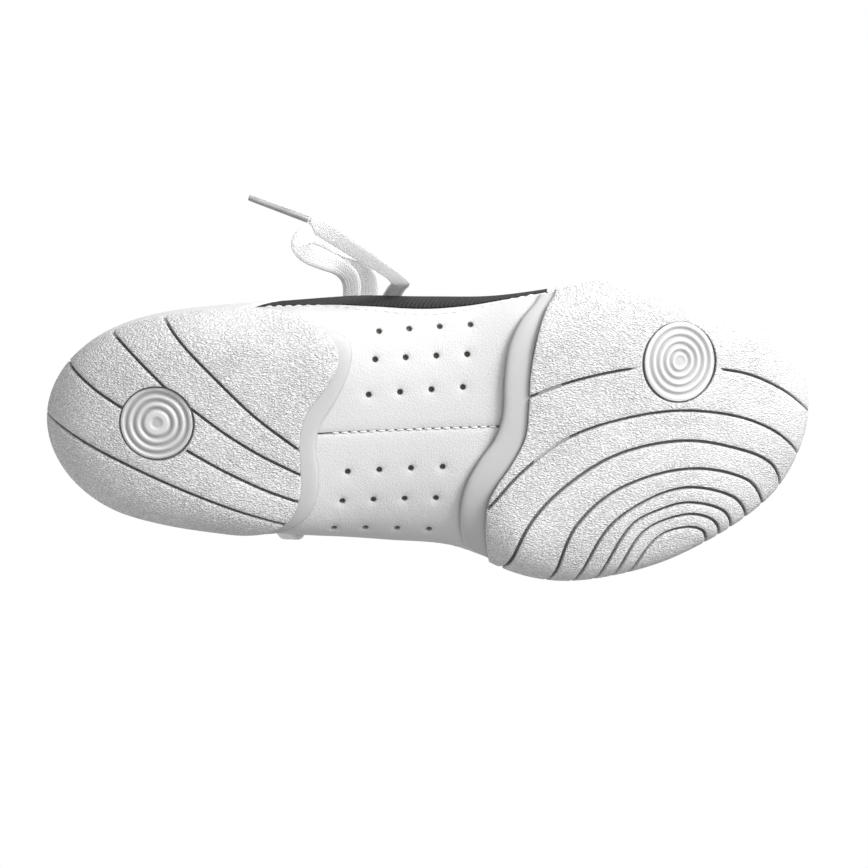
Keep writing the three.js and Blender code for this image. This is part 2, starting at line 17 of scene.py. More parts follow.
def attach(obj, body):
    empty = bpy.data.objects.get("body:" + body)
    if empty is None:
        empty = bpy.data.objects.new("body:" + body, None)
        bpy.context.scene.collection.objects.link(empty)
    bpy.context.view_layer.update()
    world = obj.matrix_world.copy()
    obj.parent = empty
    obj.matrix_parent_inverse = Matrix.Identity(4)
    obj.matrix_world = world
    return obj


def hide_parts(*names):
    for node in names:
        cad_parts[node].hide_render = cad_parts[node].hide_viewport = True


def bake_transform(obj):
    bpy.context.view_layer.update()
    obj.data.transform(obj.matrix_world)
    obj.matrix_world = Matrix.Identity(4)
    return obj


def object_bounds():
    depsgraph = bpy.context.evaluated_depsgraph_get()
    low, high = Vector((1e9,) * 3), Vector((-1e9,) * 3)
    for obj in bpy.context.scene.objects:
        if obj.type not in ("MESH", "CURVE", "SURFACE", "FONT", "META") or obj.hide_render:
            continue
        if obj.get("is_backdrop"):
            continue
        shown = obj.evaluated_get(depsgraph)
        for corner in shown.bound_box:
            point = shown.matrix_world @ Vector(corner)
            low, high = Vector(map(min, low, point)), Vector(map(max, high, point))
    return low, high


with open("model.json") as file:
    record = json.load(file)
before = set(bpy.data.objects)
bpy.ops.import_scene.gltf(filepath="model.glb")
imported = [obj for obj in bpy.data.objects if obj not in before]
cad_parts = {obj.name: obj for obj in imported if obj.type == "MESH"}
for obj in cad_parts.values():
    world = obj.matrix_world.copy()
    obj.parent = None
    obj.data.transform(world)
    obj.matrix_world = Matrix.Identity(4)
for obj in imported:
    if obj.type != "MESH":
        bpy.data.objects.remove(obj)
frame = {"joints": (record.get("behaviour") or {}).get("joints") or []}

CAD_BOX = [list(corner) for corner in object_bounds()]
ORIGIN = np.array([136.2, 0.8, 0.0])        # the frame's origin, from the back of the heel
MM = 0.001


def metres(points):
    """Heel-frame millimetres to the frame's metres."""
    return (np.asarray(points, float) - ORIGIN) * MM


# ---- Camera ----
VIEW_ALONG = Vector((0.1392, 0.1736, 0.9749)).normalized()
VIEW_TARGET = Vector((-0.0040, -0.0004, 0.0100))
VIEW_DISTANCE = 0.831
VIEW_RIGHT = Vector((0.9903, -0.0244, -0.1370)).normalized()
VIEW_UP = VIEW_RIGHT.cross(VIEW_ALONG).normalized()


def make_camera():
    data = bpy.data.cameras.new("camera")
    data.lens, data.sensor_width = 100, 36
    camera = bpy.data.objects.new("camera", data)
    bpy.context.scene.collection.objects.link(camera)
    axes = Matrix((VIEW_RIGHT, VIEW_UP, -VIEW_ALONG)).transposed().to_4x4()
    camera.matrix_world = Matrix.Translation(VIEW_TARGET - VIEW_ALONG * VIEW_DISTANCE) @ axes
    bpy.context.scene.camera = camera


make_camera()


# ---- Smooth curves ----
def smooth(points):
    """A smooth function through a few (x, y) points."""
    xs, ys = np.array(points, float).T
    count = len(xs)
    before = np.maximum(np.arange(count) - 1, 0)
    after = np.minimum(np.arange(count) + 1, count - 1)
    slopes = (ys[after] - ys[before]) / (xs[after] - xs[before])

    def curve(x):
        x = np.clip(x, xs[0], xs[-1])
        i = np.clip(np.searchsorted(xs, x, side="right") - 1, 0, count - 2)
        width = xs[i + 1] - xs[i]
        t = (x - xs[i]) / width
        return ((2 * t**3 - 3 * t**2 + 1) * ys[i] + (3 * t**2 - 2 * t**3) * ys[i + 1]
                + width * ((t**3 - 2 * t**2 + t) * slopes[i] + (t**3 - t**2) * slopes[i + 1]))
    return curve


def along(line):
    """Distance along a line of points, from its start."""
    steps = np.linalg.norm(np.diff(line, axis=0), axis=1)
    return np.concatenate([[0], np.cumsum(steps)])


def resampled(line, spacing):
    """The same line with evenly spaced points."""
    line = np.asarray(line, float)
    run = along(line)
    count = max(int(round(run[-1] / spacing)), 2) + 1
    places = np.linspace(0, run[-1], count)
    return np.stack([np.interp(places, run, line[:, k]) for k in range(line.shape[1])], axis=1)


def spline(points, spacing):
    """A smooth line through the points, with evenly spaced points."""
    points = np.asarray(points, float)
    knots = along(points)
    fine = np.linspace(0, knots[-1], 24 * len(points))
    axes = [smooth(np.stack([knots, points[:, k]], axis=1))(fine) for k in range(points.shape[1])]
    return resampled(np.stack(axes, axis=1), spacing)


def ease(t):
    """0 to 1, starting and ending gently."""
    t = np.clip(t, 0, 1)
    return t * t * (3 - 2 * t)


# ---- The foot shape, as in the solids ----
HEEL_X, TOE_X, CENTRE_X, CENTRE_Y = 2.0, 270.0, 130.0, -2.0
RIB_REACH = 0.8             # of the way to the heel or the toe, where a rib starts
SHORTEST_REACH = 0.6        # less than any rib's, to search between
HALVINGS = 34               # of an angle, to find a rib
OVER_SQUARENESS = 2.2


def angle_at(x):
    """The angle of the rib whose station is x."""
    return np.arccos(np.clip(1 - 2 * (np.asarray(x, float) - HEEL_X) / (TOE_X - HEEL_X), -1, 1))


def by_angle(points):
    return smooth([(float(angle_at(x)), y) for x, y in points])


lateral_breadth = by_angle([(2, -3), (5, 9.5), (12, 19), (24, 27), (40, 31.5), (60, 34.5),
    (90, 38), (118, 40.8), (140, 42.5), (155, 47), (170, 51), (182, 52), (198, 50.3),
    (214, 46.8), (230, 41), (246, 33), (258, 24), (266, 12), (270, -5)])
medial_breadth = by_angle([(2, -3), (5, -15.5), (13, -26), (26, -33.5), (42, -38), (60, -40.5),
    (85, -42.5), (112, -44.6), (135, -44.8), (155, -45.5), (172, -48), (186, -51), (198, -51),
    (214, -48), (232, -42), (248, -34.5), (260, -26.5), (267, -18), (270, -5)])
keel_height = smooth([(0, 18), (11, 13), (23, 9.5), (36, 6.7), (49, 5), (61, 4.5), (84, 4.5),
    (100, 5.8), (125, 6.5), (148, 5.8), (164, 4.5), (181, 4.5), (191, 5), (203, 6.3), (217, 9.3),
    (231, 13.7), (246, 19.1), (263, 26), (272, 30)])
widest_height = smooth([(0, 30), (30, 27), (120, 27), (180, 24), (215, 27), (250, 34), (272, 38)])
ridge_height = smooth([(0, 90), (40, 96), (84, 94), (104, 87), (130, 77), (150, 69.5), (170, 63),
    (190, 58), (215, 55.5), (235, 54.5), (250, 53.5), (262, 51.5), (272, 48)])
under_squareness = smooth([(0, 4.2), (80, 4.2), (108, 2.6), (145, 2.6), (168, 4.2), (272, 3.6)])


def rib(angle, side, out):
    """Station, inner point and outer point of the rib at an angle; side is +1 lateral, -1 medial."""
    x = HEEL_X + (TOE_X - HEEL_X) * (1 - np.cos(angle)) / 2
    breadth = lateral_breadth(angle) if side > 0 else medial_breadth(angle)
    inner_x = CENTRE_X + (x - CENTRE_X) * RIB_REACH
    return x, inner_x, x - out * np.cos(angle), breadth + side * out * np.sin(angle)


def foot_point(angle, side, share, is_over, grow):
    """The point at a share of a rib, on a surface grown at the sides, underneath and on top."""
    station, inner_x, outer_x, outer_y = rib(angle, side, grow[0])
    x = inner_x + (outer_x - inner_x) * share
    y = CENTRE_Y + (outer_y - CENTRE_Y) * share
    widest = widest_height(station)
    square = OVER_SQUARENESS if is_over else under_squareness(station)
    rise = (1 - np.minimum(share, 1) ** square) ** (1 / square)
    far = ridge_height(x) + grow[2] if is_over else keel_height(x) - grow[1]
    return np.stack([x, y, widest + (far - widest) * rise], axis=-1)


class Skin:
    """One grown foot surface, tabled by rib angle and by distance from the middle of the sole."""
    RIBS, STEPS, TURNS = 241, 480, 140

    def __init__(self, side=0.0, under=None, over=None, on_floor=False):
        grow = (side, side if under is None else under, side if over is None else over)
        self.angles = np.linspace(0, math.pi, self.RIBS)
        turn = np.linspace(0, math.pi / 2, self.TURNS)[None, :]
        self.table, self.length, self.widest = {}, {}, {}
        for way in (1, -1):
            angle = self.angles[:, None] + 0 * turn
            below = foot_point(angle, way, np.sin(turn) + 0 * angle, False, grow)
            above = foot_point(angle, way, np.cos(turn) + 0 * angle, True, grow)
            if on_floor:
                below[..., 2] = self.settled(below[..., 2])
            line = np.concatenate([below, above[:, 1:]], axis=1)
            steps = np.linalg.norm(np.diff(line, axis=1), axis=2)
            run = np.concatenate([np.zeros((self.RIBS, 1)), np.cumsum(steps, axis=1)], axis=1)
            even = np.empty((self.RIBS, self.STEPS, 3))
            for i in range(self.RIBS):
                places = np.linspace(0, run[i, -1], self.STEPS)
                for k in range(3):
                    even[i, :, k] = np.interp(places, run[i], line[i, :, k])
            self.table[way], self.length[way] = even, run[:, -1]
            self.widest[way] = run[:, below.shape[1] - 1]
        self.grow = grow

    @staticmethod
    def settled(z):
        """Height with the part below the floor pressed flat, softly."""
        softness = 0.45
        return 0.5 * (z + np.sqrt(z * z + softness * softness))

    def at(self, side, angle, run):
        """Surface points at rib angles and distances, for one side."""
        angle, run = np.broadcast_arrays(np.asarray(angle, float), np.asarray(run, float))
        a = np.clip(angle / math.pi, 0, 1) * (self.RIBS - 1)
        i = np.minimum(a.astype(int), self.RIBS - 2)
        fa = (a - i)[..., None]
        whole = np.interp(angle, self.angles, self.length[side])
        s = np.clip(run / whole, 0, 1) * (self.STEPS - 1)
        j = np.minimum(s.astype(int), self.STEPS - 2)
        fs = (s - j)[..., None]
        t = self.table[side]
        return ((t[i, j] * (1 - fs) + t[i, j + 1] * fs) * (1 - fa)
                + (t[i + 1, j] * (1 - fs) + t[i + 1, j + 1] * fs) * fa)

    def crossing(self, side, test, first=0.0):
        """For each rib, the distance where test(points) rises past zero, past a first share."""
        value = test(self.table[side])
        share = np.linspace(0, 1, self.STEPS)
        value = np.where(share[None, :] < first, -1.0, value)
        found = value > 0
        j = np.clip(found.argmax(axis=1), 1, self.STEPS - 1)
        rows = np.arange(self.RIBS)
        low, high = value[rows, j - 1], value[rows, j]
        part = np.clip(-low / np.where(high == low, 1, high - low), 0, 1)
        place = share[j - 1] + part * (share[j] - share[j - 1])
        return np.where(found.any(axis=1), place, 1.0) * self.length[side]

    # The sole is also drawn flat: a rib keeps its place in plan and is rolled out straight.
    def flat_rib(self, side, angle):
        """Where a rib starts, its direction in x and y, and its length in plan."""
        _, inner_x, outer_x, outer_y = rib(angle, side, self.grow[0])
        reach = np.hypot(outer_x - inner_x, outer_y - CENTRE_Y)
        return inner_x, (outer_x - inner_x) / reach, (outer_y - CENTRE_Y) / reach, reach

    def flat_point(self, side, angle, run):
        inner_x, ex, ey, _ = self.flat_rib(side, angle)
        return np.stack([inner_x + ex * run, CENTRE_Y + ey * run], axis=-1)

    def sides_of(self, flat):
        """+1 or -1 for each flat point, by the line that the two sides share, which leaves the
        middle towards the tips of the heel and the toe."""
        x, y = flat[:, 0], flat[:, 1]
        heelward = np.clip((27.6 - x) / 25.6, 0, 2)
        toeward = np.clip((x - 242) / 28, 0, 2)
        return np.where(y > CENTRE_Y - heelward - toeward * 3, 1, -1)

    def rib_through(self, side, flat):
        """Angle of the rib that passes through each flat point, and the distance along it."""
        x, y = flat[:, 0], flat[:, 1]
        steep = angle_at(CENTRE_X + (x - CENTRE_X) / RIB_REACH)
        shallow = angle_at(CENTRE_X + (x - CENTRE_X) * SHORTEST_REACH)
        low, high = np.minimum(steep, shallow), np.maximum(steep, shallow)
        for _ in range(HALVINGS):
            middle = (low + high) / 2
            inner_x, ex, ey, _ = self.flat_rib(side, middle)
            ahead = side * (ex * (y - CENTRE_Y) - ey * (x - inner_x)) < 0
            low, high = np.where(ahead, middle, low), np.where(ahead, high, middle)
        angle = (low + high) / 2
        inner_x, ex, ey, _ = self.flat_rib(side, angle)
        return angle, np.maximum((x - inner_x) * ex + (y - CENTRE_Y) * ey, 0)

    def by_side(self, flat, surface):
        """Points that surface(side, rib angle, distance along the rib) gives for flat points."""
        flat = np.asarray(flat, float)
        sides = self.sides_of(flat)
        points = np.empty((len(flat), 3))
        for side in (1, -1):
            chosen = sides == side
            points[chosen] = surface(side, *self.rib_through(side, flat[chosen]))
        return points

    def from_flat(self, flat):
        """Surface points of points on the rolled-out sole."""
        return self.by_side(flat, self.at)

    def from_plan(self, plan, is_over, grow):
        """Points of the top or the underside, grown, over places in plan."""
        def surface(side, angle, run):
            share = np.clip(run / self.flat_rib(side, angle)[3], 0, 1)
            return foot_point(angle, side, share, is_over, grow)
        return self.by_side(plan, surface)

    def flat_line(self, side, test, angles):
        """On the rolled-out sole, the line where test(points) is zero, at the given angles."""
        return self.flat_point(side, angles, np.interp(angles, self.angles,
                                                       self.crossing(side, test)))


# ---- Meshes ----
def vertex_normals(points, faces):
    corners = points[faces[:, :3]]
    normals = np.cross(corners[:, 1] - corners[:, 0], corners[:, 2] - corners[:, 0])
    if faces.shape[1] == 4:
        normals = np.cross(points[faces[:, 2]] - points[faces[:, 0]],
                           points[faces[:, 3]] - points[faces[:, 1]])
    total = np.zeros_like(points)
    for k in range(faces.shape[1]):
        np.add.at(total, faces[:, k], normals)
    size = np.linalg.norm(total, axis=1, keepdims=True)
    return total / np.maximum(size, 1e-12)


def make_piece(name, points, faces, material, sharp=52):
    """An object from millimetre points; edges sharper than the angle stay crisp."""
    mesh = bpy.data.meshes.new(name)
    mesh.from_pydata(metres(points).tolist(), [], [list(map(int, f)) for f in faces])
    mesh.validate()
    mesh.shade_smooth()
    mesh.set_sharp_from_angle(angle=math.radians(sharp))
    mesh.materials.append(material)
    piece = bpy.data.objects.new(name, mesh)
    bpy.context.scene.collection.objects.link(piece)
    return piece


def thickened(points, faces, inward):
    """A closed shell: the front faces, a back along the inward offsets, and walls round the rims."""
    count = len(points)
    pairs = np.stack([faces, np.roll(faces, -1, axis=1)], axis=-1).reshape(-1, 2)
    seen = {(int(a), int(b)) for a, b in pairs}
    rims = [(a, b) for a, b in seen if (b, a) not in seen]
    walls = [(b, a, a + count, b + count) for a, b in sorted(rims)]
    everything = [tuple(f) for f in faces] + [tuple(f[::-1] + count) for f in faces] + walls
    return np.concatenate([points, points + inward]), everything


POINTS_AT_ONCE = 3000       # keeps the distance tables small


def distance_to_line(points, line):
    """Distance of 2-D points to a line, the sign of their side (left is +), and place along it."""
    start, step = line[:-1], np.diff(line, axis=0)
    square = np.maximum((step**2).sum(1), 1e-12)
    run = along(line)
    out = np.empty((len(points), 3))
    for i in range(0, len(points), POINTS_AT_ONCE):
        offset = points[i:i + POINTS_AT_ONCE, None, :] - start[None]
        t = np.clip((offset * step).sum(2) / square, 0, 1)
        gap = offset - t[..., None] * step
        distance = np.sqrt((gap**2).sum(2))
        best = distance.argmin(1)
        rows = np.arange(len(best))
        cross = step[best, 0] * offset[rows, best, 1] - step[best, 1] * offset[rows, best, 0]
        out[i:i + POINTS_AT_ONCE, 0] = distance[rows, best]
        out[i:i + POINTS_AT_ONCE, 1] = np.where(cross >= 0, 1, -1)
        out[i:i + POINTS_AT_ONCE, 2] = run[best] + t[rows, best] * np.sqrt(square[best])
    return out


def add_shade(piece, values):
    """Stores how deep in a groove or corner each point lies, for the materials to darken as painted
    shade.
    """
    piece.data.attributes.new("shade", "FLOAT", "POINT").data.foreach_set(
        "value", np.asarray(values, np.float32))


def beside(line, offset):
    """A line moved to its left by an offset, or by one for each point."""
    tangent = np.gradient(line, axis=0)
    tangent /= np.linalg.norm(tangent, axis=1, keepdims=True)
    left = np.stack([-tangent[:, 1], tangent[:, 0]], axis=1)
    return line + left * np.broadcast_to(offset, len(line))[:, None]


class Groove:
    """A moulded groove on the rolled-out sole, tapered over a distance at each end."""
    NARROWEST = 0.35            # at the tip of a taper, by the full width
    WALL, RIM, SHOULDER = 0.62, 1.04, 1.8       # where its flank starts and ends, by half widths

    def __init__(self, points, width, depth, taper):
        self.line = spline(points, 1.0)
        self.half, self.depth, self.taper = width / 2, depth, taper
        self.total = along(self.line)[-1]

    def fullness(self, run):
        start = ease(run / self.taper[0]) if self.taper[0] else 1.0
        end = ease((self.total - run) / self.taper[1]) if self.taper[1] else 1.0
        return start * end

    def reach(self, full):
        """Half the width of the groove where it is so full."""
        return self.half * (self.NARROWEST + 0.65 * full)

    def drop(self, points):
        found = distance_to_line(points, self.line)
        full = self.fullness(found[:, 2])
        q = found[:, 0] / self.reach(full)
        wall = 1 - ease((q - self.WALL) / 0.42)
        shoulder = 1 - ease((q - 0.9) / 0.9)
        return self.depth * full * (0.86 * wall + 0.14 * shoulder)

    def guides(self):
        reach = self.reach(self.fullness(along(self.line)))
        return [beside(self.line, k * reach) for k in
                (0, -self.SHOULDER, -self.RIM, -self.WALL, self.WALL, self.RIM, self.SHOULDER)]


TRIANGLE_HEIGHT = 0.866     # of an even-sided triangle, by its side


def circle(x, y, radius, count):
    turn = np.linspace(0, 2 * math.pi, count, endpoint=False)
    return np.stack([x + radius * np.cos(turn), y + radius * np.sin(turn)], axis=1)


def sole_sheet(place, fences, grooves, holes, thickness, rounding=0.7, spacing=1.7,
               relief=None, facing=-1):
    """A moulded or cut sheet, drawn flat. place turns flat points into surface points; facing is
    -1 if its front faces down. The inside lies left of every fence; a hole is (x, y, radius,
    rounding, corners). Returns the points and faces of its closed shell, and how much painted
    shade its points get, from 0 on the open faces to 1 in the grooves and along the edges."""
    vertices, edges = [], []

    def add_line(line, closed=False):
        start = sum(len(v) for v in vertices)
        vertices.append(line)
        last = len(line) if closed else len(line) - 1
        edges.extend((start + k, start + (k + 1) % len(line)) for k in range(last))

    def inside(points, margin=0.0):
        depth = np.full(len(points), 1e9)
        for fence in fences:
            found = distance_to_line(points, fence)
            depth = np.minimum(depth, found[:, 0] * found[:, 1])
        drop = rounded(depth, rounding)
        for x, y, radius, soft, _ in holes:
            gap = np.hypot(points[:, 0] - x, points[:, 1] - y) - radius
            depth = np.minimum(depth, gap)
            drop = np.maximum(drop, rounded(gap, soft))
        return depth > margin, depth, drop

    def rounded(depth, radius):
        short = np.clip(radius - depth, 0, radius)
        return radius - np.sqrt(np.maximum(radius**2 - short**2, 0))

    steps = (0, 0.12, 0.4, 1.0)
    for fence in fences:
        for step in steps:
            add_line(beside(fence, step * rounding))
    for x, y, radius, soft, corners in holes:
        for step in steps:
            add_line(circle(x, y, radius + step * soft, corners), closed=True)
    for groove in grooves:
        for line in groove.guides():
            keep = inside(line)[0]
            for piece in np.split(line, np.flatnonzero(np.diff(keep.astype(int))) + 1):
                if len(piece) > 1 and inside(piece[len(piece) // 2][None])[0][0]:
                    add_line(piece)
    everything = np.concatenate(vertices)
    low, high = everything.min(0), everything.max(0)
    rows = []
    for k, y in enumerate(np.arange(low[1], high[1], spacing * TRIANGLE_HEIGHT)):
        across = np.arange(low[0] + (k % 2) * spacing / 2, high[0], spacing)
        rows.append(np.stack([across, np.full_like(across, y)], axis=1))
    grid = np.concatenate(rows)
    grid = grid[inside(grid, rounding * 1.3)[0]]
    for groove in grooves:
        grid = grid[distance_to_line(grid, groove.line)[:, 0] > groove.half * groove.SHOULDER + 0.5]
    vertices.append(grid)
    found = delaunay_2d_cdt([Vector(p) for p in np.concatenate(vertices).tolist()], edges, [], 0,
                            1e-3, False)
    flat = np.array([tuple(v) for v in found[0]])
    faces = np.array([f for f in found[2] if len(f) == 3])
    faces = faces[inside(flat[faces].mean(1))[0]]
    a, b, c = (flat[faces[:, k]] for k in range(3))
    area = (b[:, 0] - a[:, 0]) * (c[:, 1] - a[:, 1]) - (b[:, 1] - a[:, 1]) * (c[:, 0] - a[:, 0])
    faces = np.where(area[:, None] * facing > 0, faces, faces[:, ::-1])
    used = np.unique(faces)
    renumber = np.zeros(len(flat), int)
    renumber[used] = np.arange(len(used))
    flat, faces = flat[used], renumber[faces]
    surface = place(flat)
    normals = vertex_normals(surface, faces)
    _, depth, drop = inside(flat)
    front = surface - normals * drop[:, None]
    carved = np.zeros(len(flat))
    for groove in grooves:
        carved = np.maximum(carved, groove.drop(flat))
    # Painted shade: the deeper in a groove, the darker.
    shade = np.clip(carved / 0.9, 0, 1)
    if relief is not None:
        carved = carved - relief(flat, depth)
    carved = np.minimum(carved, thickness * 0.8)
    front = front - normals * carved[:, None]
    back = surface - normals * thickness
    # Painted shade: a dark line along the edges and round the holes; the hidden back is fully shaded.
    shade = np.maximum(shade, 0.9 * np.exp(-(np.maximum(depth, 0) / 0.32) ** 2))
    return *thickened(front, faces, back - front), np.concatenate([shade, np.ones(len(flat))])


class Patch:
    """A four-sided piece of a skin on one side, as a grid of points with rows from low to high
    and columns from rear to front. Ends are tests on points that rise through zero."""

    def __init__(self, skin, side, low, high, rear, front, rows, columns):
        """low and high are distances for each rib; rear and front are tests, or angles."""
        self.skin, self.side = skin, side
        self.low, self.high = low, high
        self.rows, self.columns = np.asarray(rows, float), np.asarray(columns, float)
        rear_angle, front_angle = (np.array([self.end(test, row) for row in self.rows])[:, None]
                                   for test in (rear, front))
        angle = rear_angle + (front_angle - rear_angle) * self.columns[None, :]
        self.points = skin.at(side, angle, self.run(angle, self.rows[:, None]))

    def run(self, angle, row):
        low = np.interp(angle, self.skin.angles, self.low)
        high = np.interp(angle, self.skin.angles, self.high)
        return low + (high - low) * row

    def end(self, test, row):
        if not callable(test):
            return test
        angles = np.linspace(0.02, math.pi - 0.02, 700)
        value = test(self.skin.at(self.side, angles, self.run(angles, row)))
        j = int(np.argmax(value > 0)) if (value > 0).any() else len(angles) - 1
        j = max(j, 1)
        low, high = value[j - 1], value[j]
        part = min(max(-low / (high - low), 0), 1) if high != low else 0
        return angles[j - 1] + part * (angles[j] - angles[j - 1])


def line_test(line):
    """A test that rises through zero where a point passes a line of (x, z) pairs."""
    xs, zs = np.array(line, float).T
    return lambda p: p[..., 0] - np.interp(p[..., 2], zs, xs)


def upright(x):
    """A test that rises through zero at an x."""
    return lambda p: p[..., 0] - x


def above(height, overlap=0.0):
    """A test that rises through zero at the height for each x, less an overlap."""
    return lambda p: p[..., 2] - (height(p[..., 0]) - overlap)


NEAR_EDGE = (0, 0.25, 0.7, 1.4, 2.0, 2.6, 3.4)


def edge_spread(length, step=3.0, start=True, end=True):
    """Shares of a length, close together near the edges and a step apart between them."""
    first = list(NEAR_EDGE) if start else [0]
    last = [length - n for n in NEAR_EDGE][::-1] if end else [length]
    between = np.arange(first[-1] + step, last[0] - step * 0.6, step)
    if len(between):
        stretch = (last[0] - first[-1]) / (between[-1] + step - first[-1])
        between = first[-1] + (between - first[-1]) * stretch
    return np.concatenate([first, between, last]) / length


def joined(*grids):
    """Grids side by side, sharing the touching column once."""
    return np.concatenate([grids[0]] + [g[:, 1:] for g in grids[1:]], axis=1)


def grid_faces(rows, columns, outward):
    index = np.arange(rows * columns).reshape(rows, columns)
    faces = np.stack([index[:-1, :-1], index[:-1, 1:], index[1:, 1:], index[1:, :-1]], axis=-1)
    faces = faces.reshape(-1, 4)
    return faces if outward > 0 else faces[:, ::-1]


def tube_faces(rings, corners):
    """The faces of a closed tube, given the number of its rings and of the corners of each."""
    quads = [(i * corners + j, i * corners + (j + 1) % corners,
              (i + 1) * corners + (j + 1) % corners, (i + 1) * corners + j)
             for i in range(rings - 1) for j in range(corners)]
    caps = [tuple(range(corners))[::-1], tuple((rings - 1) * corners + j for j in range(corners))]
    return quads + caps


def edge_gaps(grid):
    """Distance of each grid point from the low, high, rear and front edges, along the grid."""
    up = np.linalg.norm(np.diff(grid, axis=0), axis=2)
    up = np.concatenate([np.zeros((1, grid.shape[1])), np.cumsum(up, axis=0)])
    over = np.linalg.norm(np.diff(grid, axis=1), axis=2)
    over = np.concatenate([np.zeros((grid.shape[0], 1)), np.cumsum(over, axis=1)], axis=1)
    return {"low": up, "high": up[-1:] - up, "rear": over, "front": over[:, -1:] - over}


SEAM_STEP = 1.0
SEAM_INSET, SECOND_ROW, COLLAR_ROW = 2.0, 4.4, 2.2


def seam_line(grid, edge, inset):
    """The line that runs along one edge of a grid, at an inset from it."""
    gaps = edge_gaps(grid)[edge]
    across = edge in ("low", "high")
    line = []
    for k in range(grid.shape[1] if across else grid.shape[0]):
        gap, points = (gaps[:, k], grid[:, k]) if across else (gaps[k], grid[k])
        if edge in ("high", "front"):
            gap, points = gap[::-1], points[::-1]
        line.append([np.interp(inset, gap, points[:, axis]) for axis in range(3)])
    return resampled(np.array(line), SEAM_STEP)


def organic(points, size, height, seed):
    """A gentle, repeatable unevenness in millimetres."""
    offset = Vector((seed * 17.3, seed * 5.1, seed * 9.7))
    return np.array([height * noise.noise(Vector(p) / size + offset) for p in points.tolist()])


LEATHER_THICKNESS = 1.4


def skin_shell(name, grid, outward, material, wave, thickness=LEATHER_THICKNESS, seams=(),
               round_edges=(), rounding=0.55):
    """A leather or textile piece: dipped along its seams, softly rounded at its free edges."""
    rows, columns = grid.shape[:2]
    faces = grid_faces(rows, columns, outward)
    points = grid.reshape(-1, 3)
    _, first, same = np.unique(np.round(points, 2), axis=0, return_index=True,
                               return_inverse=True)
    same = first[same.ravel()]
    faces = same[faces]
    normals = vertex_normals(points, faces)[same]
    gaps = edge_gaps(grid)
    lift = organic(points, 26, wave, seed=len(name))
    for edge, inset in seams:
        lift -= (0.3 * np.exp(-((gaps[edge] - inset) / 0.75) ** 2)).ravel()
    for edge in round_edges:
        short = np.clip(rounding - gaps[edge], 0, rounding).ravel()
        lift -= rounding - np.sqrt(rounding**2 - short**2)
    front = points + normals * lift[same, None]
    back = points - normals * thickness
    kept = np.unique(faces)
    renumber = np.zeros(len(points), int)
    renumber[kept] = np.arange(len(kept))
    shell_points, shell = thickened(front[kept], renumber[faces], (back - front)[kept])
    piece = make_piece(name, shell_points, shell, material, sharp=50)
    return piece, front.reshape(grid.shape), normals.reshape(grid.shape)


def stitches(name, lines, material, length=2.3, pitch=3.1, radius=0.24, lift=0.02):
    """Rows of thread stitches; a line is (points, outward directions)."""
    sides = 6
    shape = ((0.35, -0.3), (0.9, -0.05), (1, 0.1), (0.9, -0.05), (0.35, -0.3))
    points, faces = [], []
    for line, out in lines:
        run = along(line)
        for start in np.arange(0.4, run[-1] - length, pitch):
            places = start + length * np.array([0, 0.12, 0.5, 0.88, 1])
            middle = np.stack([np.interp(places, run, line[:, k]) for k in range(3)], axis=1)
            up = np.stack([np.interp(places, run, out[:, k]) for k in range(3)], axis=1)
            ahead = middle[-1] - middle[0]
            ahead /= np.linalg.norm(ahead)
            across = np.cross(ahead, up[2])
            across /= np.linalg.norm(across)
            first = len(points)
            for k, (size, rise) in enumerate(shape):
                centre = middle[k] + up[2] * (lift + rise)
                for j in range(sides):
                    turn = 2 * math.pi * j / sides
                    points.append(centre + radius * size * (math.cos(turn) * across
                                                            + math.sin(turn) * up[2]))
            faces += [tuple(first + v for v in f) for f in tube_faces(len(shape), sides)]
    return make_piece(name, np.array(points), faces, material, sharp=70)


# ---- Materials ----
WAVE_LENGTH = 0.314         # of the wave texture at a scale of 1


